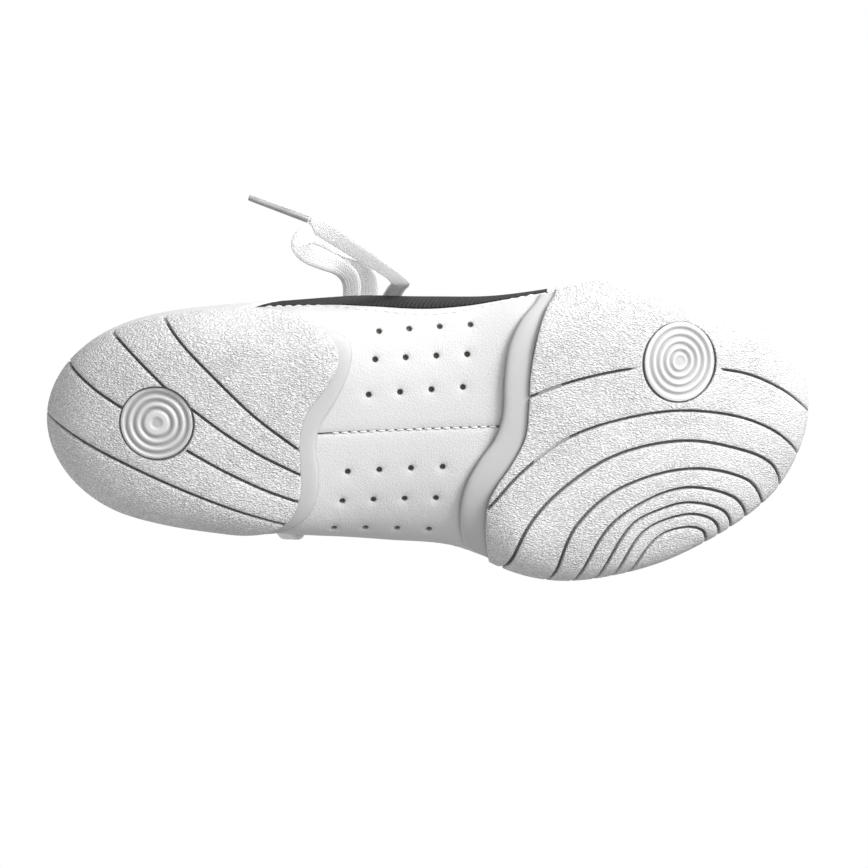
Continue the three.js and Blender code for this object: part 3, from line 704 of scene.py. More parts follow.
class Surface:
    """A procedural material, with its textures in object space and in millimetres."""

    def __init__(self, name, colour, roughness, specular=0.5, sheen=0.0, coat=0.0):
        self.material = bpy.data.materials.new(name)
        self.material.use_nodes = True
        self.tree = self.material.node_tree
        self.shader = self.tree.nodes["Principled BSDF"]
        self.shader.inputs["Base Color"].default_value = (*colour, 1)
        self.shader.inputs["Roughness"].default_value = roughness
        self.shader.inputs["Specular IOR Level"].default_value = specular
        self.shader.inputs["Sheen Weight"].default_value = sheen
        self.shader.inputs["Coat Weight"].default_value = coat
        self.height = None
        place = self.node("ShaderNodeTexCoord")
        self.space = self.node("ShaderNodeMapping")
        self.space.inputs["Scale"].default_value = (1000, 1000, 1000)
        self.link(place.outputs["Object"], self.space.inputs["Vector"])
        self.vector = self.space.outputs["Vector"]
        self.uv = place.outputs["UV"]

    def node(self, kind, **values):
        node = self.tree.nodes.new(kind)
        for key, value in values.items():
            setattr(node, key, value)
        return node

    def link(self, out, into):
        self.tree.links.new(out, into)

    def noise(self, size, detail=3.0, vector=None):
        node = self.node("ShaderNodeTexNoise")
        node.inputs["Scale"].default_value = 1 / size
        node.inputs["Detail"].default_value = detail
        self.link(vector or self.vector, node.inputs["Vector"])
        return node.outputs["Fac"]

    def cells(self, size, feature, vector, smoothness=0.5):
        node = self.node("ShaderNodeTexVoronoi", feature=feature)
        node.inputs["Scale"].default_value = 1 / size
        if feature == "SMOOTH_F1":
            node.inputs["Smoothness"].default_value = smoothness
        self.link(vector, node.inputs["Vector"])
        return node.outputs["Distance"]

    def bands(self, size, direction, vector=None):
        node = self.node("ShaderNodeTexWave", bands_direction=direction)
        node.inputs["Scale"].default_value = WAVE_LENGTH / size
        self.link(vector or self.vector, node.inputs["Vector"])
        return node.outputs["Fac"]

    def maths(self, operation, a, b=0.5):
        node = self.node("ShaderNodeMath", operation=operation)
        for socket, value in zip(node.inputs, (a, b)):
            if isinstance(value, (int, float)):
                socket.default_value = value
            else:
                self.link(value, socket)
        return node.outputs[0]

    def ramp(self, value, low, high, start=0.0, end=1.0):
        node = self.node("ShaderNodeMapRange")
        self.link(value, node.inputs["Value"])
        for key, number in zip(("From Min", "From Max", "To Min", "To Max"),
                               (low, high, start, end)):
            node.inputs[key].default_value = number
        return node.outputs["Result"]

    def warped(self, amount, size):
        """The texture space pushed about by noise, in millimetres."""
        source = self.node("ShaderNodeTexNoise")
        source.inputs["Scale"].default_value = 1 / size
        source.inputs["Detail"].default_value = 2
        self.link(self.vector, source.inputs["Vector"])
        centred = self.node("ShaderNodeVectorMath", operation="SUBTRACT")
        self.link(source.outputs["Color"], centred.inputs[0])
        centred.inputs[1].default_value = (0.5, 0.5, 0.5)
        push = self.node("ShaderNodeVectorMath", operation="SCALE")
        self.link(centred.outputs["Vector"], push.inputs[0])
        push.inputs["Scale"].default_value = amount
        added = self.node("ShaderNodeVectorMath", operation="ADD")
        self.link(self.vector, added.inputs[0])
        self.link(push.outputs["Vector"], added.inputs[1])
        return added.outputs["Vector"]

    def stretched(self, scale, turn=(0, 0, 0), vector=None):
        node = self.node("ShaderNodeMapping")
        node.inputs["Scale"].default_value = scale
        node.inputs["Rotation"].default_value = turn
        self.link(vector or self.vector, node.inputs["Vector"])
        return node.outputs["Vector"]

    def tint(self, factor, colour):
        """Mixes a colour into the base colour where the factor is high."""
        mix = self.node("ShaderNodeMix", data_type="RGBA")
        base = self.shader.inputs["Base Color"]
        if base.is_linked:
            self.link(base.links[0].from_socket, mix.inputs["A"])
        else:
            mix.inputs["A"].default_value = base.default_value
        mix.inputs["B"].default_value = (*colour, 1)
        self.link(factor, mix.inputs["Factor"])
        self.link(mix.outputs["Result"], base)

    def painted_shade(self, low, high, strength, colour):
        """Paints shade: darkens the points that were stored as lying deep."""
        stored = self.node("ShaderNodeAttribute", attribute_name="shade")
        self.tint(self.ramp(stored.outputs["Fac"], low, high, 0, strength), colour)

    def rough(self, factor, low, high):
        self.link(self.ramp(factor, 0, 1, low, high), self.shader.inputs["Roughness"])

    def bump(self, height, depth):
        """Adds relief of a depth in millimetres."""
        node = self.node("ShaderNodeBump")
        node.inputs["Distance"].default_value = depth * MM
        self.link(height, node.inputs["Height"])
        if self.height is not None:
            self.link(self.height, node.inputs["Normal"])
        self.height = node.outputs["Normal"]
        self.link(self.height, self.shader.inputs["Normal"])


def grey(value, warmth=0.0):
    """A grey, redder and less blue by its warmth."""
    return (value + warmth, value, value - warmth)


def leather(name, colour, grain=0.9, depth=0.05, roughness=(0.36, 0.52)):
    made = Surface(name, colour, 0.44, coat=0.05)
    cells = made.cells(grain, "DISTANCE_TO_EDGE", made.warped(0.5, 1.6))
    pebble = made.ramp(cells, 0.0, 0.22)
    fine = made.noise(0.35, 2)
    broad = made.noise(34, 3)
    made.tint(made.ramp(broad, 0.35, 0.75, 0, 0.35), grey(colour[0] * 0.93))
    # Painted shade: the grain's crevices are darkened.
    made.tint(made.ramp(cells, 0.0, 0.1, 0.22, 0), grey(colour[0] * 0.72))
    # Painted shade in the stored grooves, holes and along the edges.
    made.painted_shade(0.2, 1.0, 0.55, grey(0.12))
    made.rough(broad, *roughness)
    made.bump(pebble, depth)
    made.bump(fine, depth * 0.5)
    made.bump(broad, depth * 3)
    return made.material


def pebbled_rubber():
    colour = grey(0.85)
    made = Surface("pebbled_rubber", colour, 0.55, specular=0.4)
    flow = made.stretched((0.62, 1.35, 1.0), (0, 0, math.radians(24)), made.warped(1.3, 2.4))
    ripple = made.cells(0.66, "SMOOTH_F1", flow, 0.25)
    short = made.noise(0.5, 1, flow)
    both = made.maths("ADD", made.ramp(ripple, 0.1, 0.62, 1, 0), made.ramp(short, 0.3, 0.7, 0, 0.8))
    fade = made.ramp(made.noise(24, 2), 0.3, 0.62, 0.55, 1.0)
    # Painted shade: the ripple's hollows are darkened, as the shadow in them.
    made.tint(made.ramp(both, 0.35, 0.95, 0.5, 0.0), grey(0.36))
    made.tint(made.ramp(made.noise(48, 2), 0.42, 0.7, 0, 0.3), grey(0.70))
    # Painted shade deep in the grooves and along the pad's edges.
    made.painted_shade(0.45, 0.98, 0.85, grey(0.07))
    made.rough(short, 0.48, 0.66)
    made.bump(made.maths("MULTIPLY", both, fade), 0.4)
    return made.material


def smooth_rubber(name, value, roughness, painted_shade=0.6):
    made = Surface(name, grey(value), roughness, specular=0.45)
    broad = made.noise(30, 3)
    made.tint(made.ramp(broad, 0.4, 0.75, 0, 0.3), grey(value * 0.93))
    # Painted shade in the stored grooves and along the edges.
    made.painted_shade(0.1, 1.0, painted_shade, grey(0.1))
    made.rough(made.noise(6, 3), roughness - 0.05, roughness + 0.08)
    made.bump(made.noise(0.5, 3), 0.02)
    made.bump(broad, 0.12)
    return made.material


def ribbed_textile():
    """Dark woven ribs that lean along the shoe, with paler flecks of thread."""
    made = Surface("ribbed_textile", grey(0.02), 0.9, specular=0.12, sheen=0.05)
    slant = made.stretched((1, 1, 1), (0, math.radians(-24), 0), made.warped(0.25, 3.0))
    ribs = made.bands(1.35, "X", slant)
    picks = made.bands(0.5, "Z", slant)
    fuzz = made.noise(0.3, 3)
    made.tint(made.ramp(ribs, 0.35, 0.95, 0, 0.5), grey(0.055))
    made.tint(made.ramp(fuzz, 0.62, 0.75, 0, 0.5), grey(0.16))
    made.rough(fuzz, 0.78, 0.95)
    made.bump(ribs, 0.35)
    made.bump(picks, 0.1)
    made.bump(fuzz, 0.06)
    return made.material


def knit_lining(name, value, size=0.9):
    made = Surface(name, grey(value), 0.92, specular=0.2, sheen=0.35)
    mesh = made.cells(size, "F1", made.stretched((1, 1, 0.8)))
    fuzz = made.noise(0.25, 3)
    made.tint(made.ramp(mesh, 0.45, 0.15, 0, 0.5), grey(value * 0.6))
    made.tint(made.ramp(made.noise(30, 2), 0.4, 0.7, 0, 0.25), grey(value * 0.85))
    made.rough(fuzz, 0.85, 0.98)
    made.bump(mesh, 0.12)
    made.bump(fuzz, 0.05)
    return made.material


def fibre_board():
    made = Surface("fibre_board", grey(0.13, 0.01), 0.92, specular=0.2)
    fibres = made.noise(0.6, 4, made.stretched((0.3, 1.6, 1)))
    made.tint(made.ramp(fibres, 0.4, 0.7, 0, 0.6), grey(0.2, 0.015))
    made.rough(fibres, 0.85, 0.97)
    made.bump(fibres, 0.08)
    return made.material


def woven_lace():
    """Flat lace: u runs along it in millimetres, v across it."""
    made = Surface("woven_lace", grey(0.88), 0.8, specular=0.25, sheen=0.3)
    made.shader.inputs["Subsurface Weight"].default_value = 0.9
    made.shader.inputs["Subsurface Radius"].default_value = (1, 1, 1)
    made.shader.inputs["Subsurface Scale"].default_value = 4 * MM
    across = made.node("ShaderNodeSeparateXYZ")
    made.link(made.uv, across.inputs[0])
    fold = made.maths("ABSOLUTE", across.outputs["Y"])
    lean = made.maths("ADD", across.outputs["X"], made.maths("MULTIPLY", fold, 0.9))
    wave = made.maths("SINE", made.maths("MULTIPLY", lean, 2 * math.pi / 1.15))
    cords = made.maths("SINE", made.maths("MULTIPLY", fold, 2 * math.pi / 0.95))
    fuzz = made.noise(0.28, 3)
    made.tint(made.ramp(wave, -0.9, 0.1, 0.2, 0), grey(0.66))
    made.tint(made.ramp(made.noise(9, 2), 0.45, 0.7, 0, 0.2), grey(0.78))
    made.rough(fuzz, 0.72, 0.9)
    made.bump(wave, 0.07)
    made.bump(cords, 0.05)
    made.bump(fuzz, 0.05)
    return made.material


def aglet_film():
    made = Surface("aglet_film", grey(0.30), 0.3, coat=0.3)
    streaks = made.noise(1.2, 3, made.stretched((0.2, 1, 1)))
    made.tint(made.ramp(streaks, 0.4, 0.7, 0, 0.5), grey(0.46))
    made.rough(streaks, 0.22, 0.42)
    made.bump(streaks, 0.04)
    return made.material


def thread(name, value):
    made = Surface(name, grey(value), 0.6, specular=0.35, sheen=0.2)
    twist = made.bands(0.3, "DIAGONAL")
    made.tint(made.ramp(twist, 0.2, 0.7, 0.35, 0), grey(value * 0.7))
    made.rough(made.noise(0.3, 2), 0.5, 0.75)
    made.bump(twist, 0.05)
    return made.material


WHITE_LEATHER = leather("white_leather", grey(0.82))
# Painted shade: the arch pieces are the same white leather, made darker all over.
SHADED_ARCH_LEATHER = leather("arch_leather", grey(0.67), depth=0.06)
TONGUE_LEATHER = leather("tongue_leather", grey(0.84), grain=0.7, depth=0.04,
                         roughness=(0.42, 0.58))
PEBBLED_RUBBER = pebbled_rubber()
SMOOTH_FOAM = smooth_rubber("smooth_foam", 0.53, 0.5)
SMOOTH_DISC = smooth_rubber("smooth_disc", 0.68, 0.42, painted_shade=0.5)
# The discs get weaker painted shade in their ring grooves.
TEXTILE = ribbed_textile()
LINING = knit_lining("knit_lining", 0.72)
INSOLE_CLOTH = knit_lining("insole_cloth", 0.62, 0.7)
BOARD = fibre_board()
LACE = woven_lace()
AGLET = aglet_film()
WHITE_THREAD = thread("white_thread", 0.86)

# ---- The arch joint ----
ARCH = next(j for j in frame["joints"] if j["name"] == "arch_flex")
ARCH_AT = Vector(ARCH["pos_m"])


def fit(piece, body, slot, *nodes):
    """Rides the piece on its body, or for the arch leaves it in place in the frame, and names what it
    stands for.
    """
    if nodes:
        piece.name = "_".join((*nodes, "made"))
    if body == "arch":
        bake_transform(piece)
    else:
        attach(piece, body)
    if nodes:
        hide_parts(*nodes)
    return piece


# ---- Soles ----
SOLE_DEPTH = 5.5            # of the outsole and midsole under the leather
LEATHER_SKIN = Skin(0)
MIDSOLE_SKIN = Skin(1, 3.0)
OUTSOLE_SKIN = Skin(2, SOLE_DEPTH, on_floor=True)
INSIDE_SKIN = Skin(-1.7)
EDGE_STEP = 1.2
MIDSOLE_RISE = 1.5          # of the midsole's edge over the outsole's
DISC_GAP = 0.4
HEEL_DISC = {"x": 36.9, "y": -4.6, "radius": 12.2, "sink": 0.95, "rings": (0.30, 0.51, 0.74, 0.94)}
TOE_DISC = {"x": 216.8, "y": -25.8, "radius": 13.8, "sink": 0.3,
            "rings": (0.17, 0.35, 0.54, 0.73, 0.92)}

heel_pad_front = [(78, -75), (80, -62), (82, -50), (86.5, -42.5), (93.5, -36.5), (97.8, -30),
                  (97.6, -23.5), (93.5, -16.5), (87.8, -9), (85.3, -1), (85.4, 9), (85.9, 17),
                  (84.6, 24.5), (81.3, 30.4), (75.5, 35.2), (66, 39.5), (52, 44)]
heel_rim_front = [(88, -75), (91, -60), (96, -46), (101, -37), (103, -29), (101.5, -21),
                  (97.5, -12), (92.2, -3), (91, 4), (92.2, 13), (91.8, 21), (89.4, 27.5),
                  (84.2, 33.6), (75, 39), (60, 44)]
fore_pad_rear = [(177, -80), (176, -64), (173.5, -53), (169, -45), (165.6, -35), (163.5, -22),
                 (163.2, -9), (162.4, 0), (158.5, 8.5), (153, 17), (150.3, 23), (149.7, 31),
                 (151, 41), (154, 54), (157, 70)]
fore_rim_rear = [(172, -80), (171, -62), (167, -50), (160, -40), (156.2, -31), (154.9, -20),
                 (154.6, -7), (152.2, 1), (147.2, 8.5), (143.2, 16.5), (141.4, 25), (141.8, 34),
                 (144, 44), (147, 56), (149, 70)]


def wrap_line(skin, height, side_angles):
    """The upper edge of a sole unit, as one line on the rolled-out sole."""
    pieces = [skin.flat_line(side, above(height), angles) for side, angles in side_angles]
    return resampled(np.concatenate(pieces), EDGE_STEP)


def heel_wrap(lift):
    """How high the heel's sole comes up the leather, and the ribs that it covers."""
    height = smooth([(-10, 25 + lift), (20, 20 + lift), (60, 15.5 + lift), (72, 12.5 + lift),
                     (82, 8 + lift), (92, 6 + lift), (112, 5 + lift)])
    reach = float(angle_at(108))
    return height, [(-1, np.linspace(reach, 0, 120)), (1, np.linspace(0, reach, 120)[1:])]


def fore_wrap(lift):
    height = smooth([(130, 12.5 + lift), (160, 13.5 + lift), (200, 16 + lift), (235, 24 + lift),
                     (262, 36 + lift), (290, 47 + lift)])
    reach = float(angle_at(132))
    return height, [(1, np.linspace(reach, math.pi, 160)),
                    (-1, np.linspace(math.pi, reach, 160)[1:])]


def flat_place(skin, x, y):
    """Where a point in plan lies on the rolled-out sole."""
    flat = np.array([[x, y]], float)
    for _ in range(6):
        flat += np.array([[x, y]]) - skin.from_flat(flat)[:, :2]
    return flat[0]


heel_grooves = [
    [(32, -55), (37.5, -43.5), (44.5, -32.5), (56, -20.2), (70, -6.8), (86.5, 5.6)],
    [(13, -46), (21, -36.2), (30, -26.4), (41.5, -15)],
    [(48.6, -9.6), (60, -1.1), (72, 6.3), (87, 13.7)],
    [(-2, -31.6), (6.5, -23.3), (16, -15.5), (25.2, -9.5)],
    [(47.2, 4.6), (60, 11.8), (74, 18.4), (86.5, 22.9)],
    [(-12, -7.8), (0, -2.9), (20, 6.9), (45, 17.9), (66, 26.2), (84, 32)],
]
fore_grooves = [
    [(163.2, -14), (176, -18.8), (190, -22.4), (201.6, -24.4)],
    [(231.6, -23.4), (245, -20.8), (259, -15.2), (272, -7.8), (286, 0)],
    [(150.6, 25), (160.5, 13.2), (176, 0.9), (195, -6.1), (216, -8.8), (238, -6.2), (255, 0),
     (268, 9), (279, 20)],
    [(155.5, 64), (158.5, 50), (164.4, 31.6), (177, 17.2), (196, 5.6), (219, 2), (240, 6),
     (256, 13.2), (264, 24), (270, 37)],
    [(173, 66), (175.4, 50), (181, 31.6), (197, 17.6), (222, 12.2), (246, 18.4), (256, 30),
     (263, 44)],
    [(182.5, 66), (185, 49), (193, 31.8), (208, 21.8), (223, 19), (241, 24.6), (249, 34),
     (255, 50)],
    [(190.5, 66), (193, 48), (201, 31.6), (213, 25.8), (224, 24.7), (238, 30), (244, 40),
     (248.5, 55)],
    [(197, 66), (199.6, 46), (206.5, 33.6), (222, 29), (233.8, 33), (239, 42), (242, 57)],
    [(202.5, 66), (205.6, 46), (212, 36.4), (222.5, 34), (230.4, 37.2), (234, 46), (236, 60)],
]


def sole_unit(name, skin, front, wrap, grooves, disc, slot, body, material, thickness, **extra):
    fences = [wrap_line(skin, *wrap)[::-1], spline(front, EDGE_STEP)]
    holes = []
    if disc:
        x, y = flat_place(skin, disc["x"], disc["y"])
        holes.append((x, y, disc["radius"] + DISC_GAP, 0.5, 120))
    points, faces, shade = sole_sheet(skin.from_flat, fences, grooves, holes, thickness, **extra)
    piece = make_piece(name, points, faces, material)
    add_shade(piece, shade)
    return fit(piece, body, slot, name)


# How far a groove takes to run out at its start and its end; 0 where it meets an edge.
HEEL_RUN_OUTS = ((9, 0), (7, 0), (0, 0), (7, 0), (0, 0), (9, 0))
FORE_RUN_OUTS = ((0, 5), (4, 6), (0, 6)) + ((5, 5),) * 6
FORE_WIDTHS = (1.2,) * 3 + (1.35,) * 6


def outsoles():
    made = {"slot": "sole_rubber", "material": PEBBLED_RUBBER, "thickness": 2.0, "rounding": 0.8}
    grooves = [Groove(line, 1.15, 1.3, ends) for line, ends in zip(heel_grooves, HEEL_RUN_OUTS)]
    sole_unit("heel_outsole", OUTSOLE_SKIN, heel_pad_front, heel_wrap(0), grooves, HEEL_DISC,
              body="rear", **made)
    grooves = [Groove(line, width, 1.4, ends)
               for line, width, ends in zip(fore_grooves, FORE_WIDTHS, FORE_RUN_OUTS)]
    sole_unit("forefoot_outsole", OUTSOLE_SKIN, fore_pad_rear[::-1], fore_wrap(0), grooves,
              TOE_DISC, body="forefoot", **made)


def midsoles():
    made = {"slot": "midsole_foam", "material": SMOOTH_FOAM, "thickness": 2.6, "rounding": 1.5,
            "spacing": 2.4}
    sole_unit("heel_midsole", MIDSOLE_SKIN, heel_rim_front, heel_wrap(MIDSOLE_RISE), [], None,
              body="rear", **made)
    sole_unit("forefoot_midsole", MIDSOLE_SKIN, fore_rim_rear[::-1], fore_wrap(MIDSOLE_RISE), [],
              None, body="forefoot", **made)


def sole_height(x, y, under):
    """Height of the sole over a place in plan, no lower than the floor."""
    flat = flat_place(OUTSOLE_SKIN, x, y)
    point = OUTSOLE_SKIN.from_flat(flat[None])[0]
    return np.array([x, y, max(point[2] + OUTSOLE_SKIN.grow[1] - under, 0)])


RING_DEPTH, DISC_THICKNESS, DISC_EDGE = 0.8, 1.2, 0.5


def disc_profile(radius, crests):
    """Half the section of a disc with a boss and rounded rings, as (radius, height) pairs."""
    grooves = [(a + b) / 2 for a, b in zip(crests, crests[1:])]
    half = (crests[1] - crests[0]) * 0.5
    profile = [(0.0, 0.0)]
    for share in np.linspace(0.01, 1.0, 96):
        near = min(abs(share - g) for g in grooves)
        wave = 0.5 + 0.5 * math.cos(math.pi * min(near / half, 1))
        wave = max(wave, 0.6 * float(ease(1.9 - share * 9)), 0.5 * float(ease(share * 22 - 20.6)))
        profile.append((share * radius, -RING_DEPTH * wave))
    rim = [(radius - DISC_EDGE + DISC_EDGE * math.sin(t), -DISC_EDGE + DISC_EDGE * math.cos(t))
           for t in np.linspace(0, math.pi / 2, 6)]
    profile = [p for p in profile if p[0] < radius - DISC_EDGE] + rim
    return profile + [(radius, -DISC_THICKNESS), (0.0, -DISC_THICKNESS)]


def pivot_disc(name, disc, body):
    """A turned disc that lies in its recess."""
    reach = 0.8 * disc["radius"]
    under = SOLE_DEPTH - disc["sink"]
    at = [sole_height(disc["x"] + dx, disc["y"] + dy, under)
          for dx, dy in ((reach, 0), (-reach, 0), (0, reach), (0, -reach))]
    out = np.cross(at[2] - at[3], at[0] - at[1])
    out /= np.linalg.norm(out)
    middle = sum(at) / 4
    across = np.cross(out, [0, 1, 0])
    across /= np.linalg.norm(across)
    other = np.cross(out, across)
    profile = disc_profile(disc["radius"], disc["rings"])
    sides = 128
    points, faces = [], []
    for r, z in profile:
        if r == 0:
            points.append(middle + out * z)
            continue
        for j in range(sides):
            turn = 2 * math.pi * j / sides
            points.append(middle + out * z + r * (math.cos(turn) * across
                                                  + math.sin(turn) * other))
    for k in range(1, len(profile) - 2):
        first = 1 + (k - 1) * sides
        for j in range(sides):
            a, b = first + j, first + (j + 1) % sides
            faces.append((a, a + sides, b + sides, b))
    for j in range(sides):
        faces.append((0, 1 + j, 1 + (j + 1) % sides))
        last = len(points) - 1 - sides
        faces.append((len(points) - 1, last + (j + 1) % sides, last + j))
    piece = make_piece(name, np.array(points), [f[::-1] for f in faces], SMOOTH_DISC)
    # Painted shade: the ring grooves darken with their depth.
    depth = np.concatenate([np.full(sides if r else 1, -z / RING_DEPTH) for r, z in profile])
    add_shade(piece, np.clip(depth, 0, 1))
    return fit(piece, body, "pivot_disc", name)


outsoles()
midsoles()
pivot_disc("heel_pivot_disc", HEEL_DISC, "rear")
pivot_disc("forefoot_pivot_disc", TOE_DISC, "forefoot")


# ---- Upper: where its pieces end, seen from the side as (x, z) ----
QUARTER_FRONT = [(70, -20), (70, 24), (92, 62), (92, 130)]
VAMP_REAR = [(172, -20), (172, 24), (184, 62), (184, 130)]
TOE_CAP_REAR = [(236, -20), (240, 30), (228, 60), (228, 130)]
SEAM_GAP = 0.15

# ---- Arch leather: two perforated pieces and the seam between them ----
vent_rows = [  # first hole, last hole
    ((112.6, -35.1), (144.1, -37.6)), ((111.1, -25.8), (142.7, -27.7)),
    ((108.9, -13.8), (141.3, -16.5)), ((102.2, 12.9), (135.0, 11.4)),
    ((100.7, 23.5), (133.2, 22.8)), ((98.5, 34), (131.8, 35))]
VENTS_PER_ROW = 4
arch_seam = [(64, 0.9), (100, -0.8), (140, -2.4), (178, -4.1)]
VENT_RADIUS = 0.95
wrap_top = {-1: smooth([(60, 27), (70, 26), (92, 21), (120, 18.5), (148, 18.4), (172, 21.5),
                        (182, 23)]),
            1: smooth([(60, 23), (70, 24), (92, 27), (120, 29), (148, 27), (172, 24), (182, 23)])}


def station_line(skin, side, x):
    """On the rolled-out sole, the line of the skin's points at one station of the shoe."""
    angles = np.linspace(float(angle_at(x - 30)), float(angle_at(x + 30)), 200)
    line = []
    for run in np.linspace(0, 78, 50):
        angle = np.interp(x, skin.at(side, angles, run)[:, 0], angles)
        line.append(skin.flat_point(side, angle, run))
    crossing = [(line[0][0], CENTRE_Y - side * 8)]
    return np.array(crossing + line)


def arch_leather(side, name):
    skin = LEATHER_SKIN
    angles = np.linspace(float(angle_at(62)), float(angle_at(182)), 100)
    top = skin.flat_line(side, above(wrap_top[side]), angles)
    seam = spline(arch_seam, EDGE_STEP)
    rear = station_line(skin, side, QUARTER_FRONT[0][0] + SEAM_GAP)[::side]
    front = station_line(skin, side, VAMP_REAR[0][0] - SEAM_GAP)[::-side]
    fences = [rear[::-1], front[::-1]]
    seam_edge = beside(seam, side * SEAM_GAP)
    fences += [top[::-side], seam_edge[::side]]
    holes = []
    for start, end in vent_rows:
        for t in np.linspace(0, 1, VENTS_PER_ROW):
            x, y = (np.array(start) * (1 - t) + np.array(end) * t).tolist()
            if (y > -2) == (side > 0):
                holes.append((*flat_place(skin, x, y), VENT_RADIUS, 0.35, 20))
    points, faces, shade = sole_sheet(
        skin.from_flat, [resampled(f, EDGE_STEP) for f in fences], (), holes, LEATHER_THICKNESS,
        rounding=0.45, spacing=2.2, relief=lambda flat, depth: 0.25 * ease(depth / 2.5) - 0.25)
    piece = make_piece(name, points, faces, SHADED_ARCH_LEATHER)
    add_shade(piece, shade)
    return piece


for side, name in ((1, "lateral_arch_wrap"), (-1, "medial_arch_wrap")):
    fit(arch_leather(side, name), "arch", "white_leather", name)


# ---- Upper ----
collar_height = smooth([(-10, 70), (8, 70), (20, 66), (45, 58), (66, 54), (84, 58), (95, 69),
                        (104, 83)])
collar_pad_low = smooth([(-10, 49.5), (50, 49.5), (66, 43), (80, 50), (96, 60.5)])
THROAT_TOP_X, THROAT_HALF_WIDTH = 104, 9


def moved(line, dx):
    """The same line, further forward."""
    return [(x + dx, z) for x, z in line]


def below_collar(p):
    """Rises through zero at the collar's edge and, further on, at the throat's edge."""
    x, y, z = p[..., 0], p[..., 1], p[..., 2]
    collar = z - collar_height(x)
    throat = THROAT_HALF_WIDTH - np.abs(y - CENTRE_Y)
    throat = np.where(z > 45, throat, -1)
    return np.where(x < THROAT_TOP_X, collar, throat)


def round_the_heel(make):
    """Both sides' grids, joined at the heel."""
    return joined(make(-1)[:, ::-1], make(1))


def round_the_toe(make):
    """Both sides' grids, joined at the toe."""
    return joined(make(1), make(-1)[:, ::-1])


def heel_quarter():
    wrap, _ = heel_wrap(0)
    low = {s: LEATHER_SKIN.crossing(s, above(wrap, 6), first=0.25) for s in (1, -1)}
    high = {s: LEATHER_SKIN.crossing(s, below_collar, first=0.3) for s in (1, -1)}
    front = line_test(moved(QUARTER_FRONT, -SEAM_GAP))
    grid = round_the_heel(lambda s: Patch(LEATHER_SKIN, s, low[s], high[s], 0.0, front,
                                         edge_spread(50, start=False), edge_spread(92, start=False)
                                         ).points)
    return skin_shell("heel_quarter", grid, -1, WHITE_LEATHER, wave=0.3,
                      seams=(("rear", SEAM_INSET), ("front", SEAM_INSET), ("high", COLLAR_ROW)),
                      round_edges=("rear", "front", "high"))


def side_panel(side, name):
    low = LEATHER_SKIN.crossing(side, above(wrap_top[side], -0.15))
    high = LEATHER_SKIN.crossing(side, below_collar, first=0.3)
    grid = Patch(LEATHER_SKIN, side, low, high, line_test(moved(QUARTER_FRONT, SEAM_GAP)),
                 line_test(moved(VAMP_REAR, -SEAM_GAP)), edge_spread(70), edge_spread(96)).points
    return skin_shell(name, grid, -side, TEXTILE, wave=0.35, round_edges=("rear", "front", "high"),
                      rounding=0.4)


def over_the_top(make):
    """Both sides' grids, joined along the ridge of the foot."""
    lateral, medial = make(1), make(-1)
    return np.concatenate([lateral, medial[::-1][1:]])


def toe_vamp():
    wrap, _ = fore_wrap(0)
    low = {s: LEATHER_SKIN.crossing(s, above(wrap, 5)) for s in (1, -1)}
    rear = line_test(moved(VAMP_REAR, SEAM_GAP))
    front = line_test(moved(TOE_CAP_REAR, -SEAM_GAP))
    grid = over_the_top(lambda s: Patch(LEATHER_SKIN, s, low[s], LEATHER_SKIN.length[s], rear,
                                        front, np.linspace(0, 1, 34), edge_spread(56, step=2.4)
                                        ).points)
    return skin_shell("toe_vamp", grid, -1, WHITE_LEATHER, wave=0.45,
                      seams=(("rear", SEAM_INSET), ("rear", SECOND_ROW), ("front", SEAM_INSET)),
                      round_edges=("rear", "front"))


def toe_cap():
    wrap, _ = fore_wrap(0)
    low = {s: LEATHER_SKIN.crossing(s, above(wrap, 5)) for s in (1, -1)}
    rear = line_test(moved(TOE_CAP_REAR, SEAM_GAP))
    grid = round_the_toe(lambda s: Patch(LEATHER_SKIN, s, low[s], LEATHER_SKIN.length[s], rear,
                                         math.pi, np.linspace(0, 1, 30),
                                         edge_spread(48, end=False, step=1.8)).points)
    return skin_shell("toe_cap", grid, -1, WHITE_LEATHER, wave=0.2,
                      seams=(("rear", SEAM_INSET), ("front", SEAM_INSET)), round_edges=("rear", "front"))


# ---- Pieces laid over or under the top of the foot, drawn in plan ----
def over_place(grow, plan):
    """Points of the top of a grown skin over places in plan."""
    return LEATHER_SKIN.from_plan(plan, True, (0, 0, grow))


LACE_HOLES_X = (112, 124, 136, 148, 160, 172)
LACE_HOLE_Y = 15
EYESTAY_REAR, EYESTAY_FRONT, EYESTAY_REACH, EYESTAY_LIFT = 106, 177, 22, 1.5


def rounded_box(x0, y0, x1, y1, radius):
    """A box outline with round corners, turning left."""
    line = []
    for cx, cy, start in ((x1 - radius, y0 + radius, -90), (x1 - radius, y1 - radius, 0),
                          (x0 + radius, y1 - radius, 90), (x0 + radius, y0 + radius, 180)):
        for t in np.linspace(0, 90, 7):
            turn = math.radians(start + t)
            line.append((cx + radius * math.cos(turn), cy + radius * math.sin(turn)))
    line.append(line[0])
    return resampled(np.array(line), SEAM_STEP)


def eyestay_outline(side):
    low, high = sorted(CENTRE_Y + side * y for y in (THROAT_HALF_WIDTH, EYESTAY_REACH))
    return rounded_box(EYESTAY_REAR, low, EYESTAY_FRONT, high, 3.0)


def eyestay(side, name):
    outline = eyestay_outline(side)
    holes = [(x, CENTRE_Y + side * LACE_HOLE_Y, 1.9, 0.4, 24) for x in LACE_HOLES_X]
    points, faces, shade = sole_sheet(
        lambda flat: over_place(EYESTAY_LIFT, flat), [outline], (), holes, 1.2, rounding=0.55,
        spacing=2.0,
        facing=1, relief=lambda flat, depth: -0.3 * np.exp(-((depth - 2) / 0.7) ** 2))
    piece = make_piece(name, points, faces, WHITE_LEATHER)
    add_shade(piece, shade)
    return piece


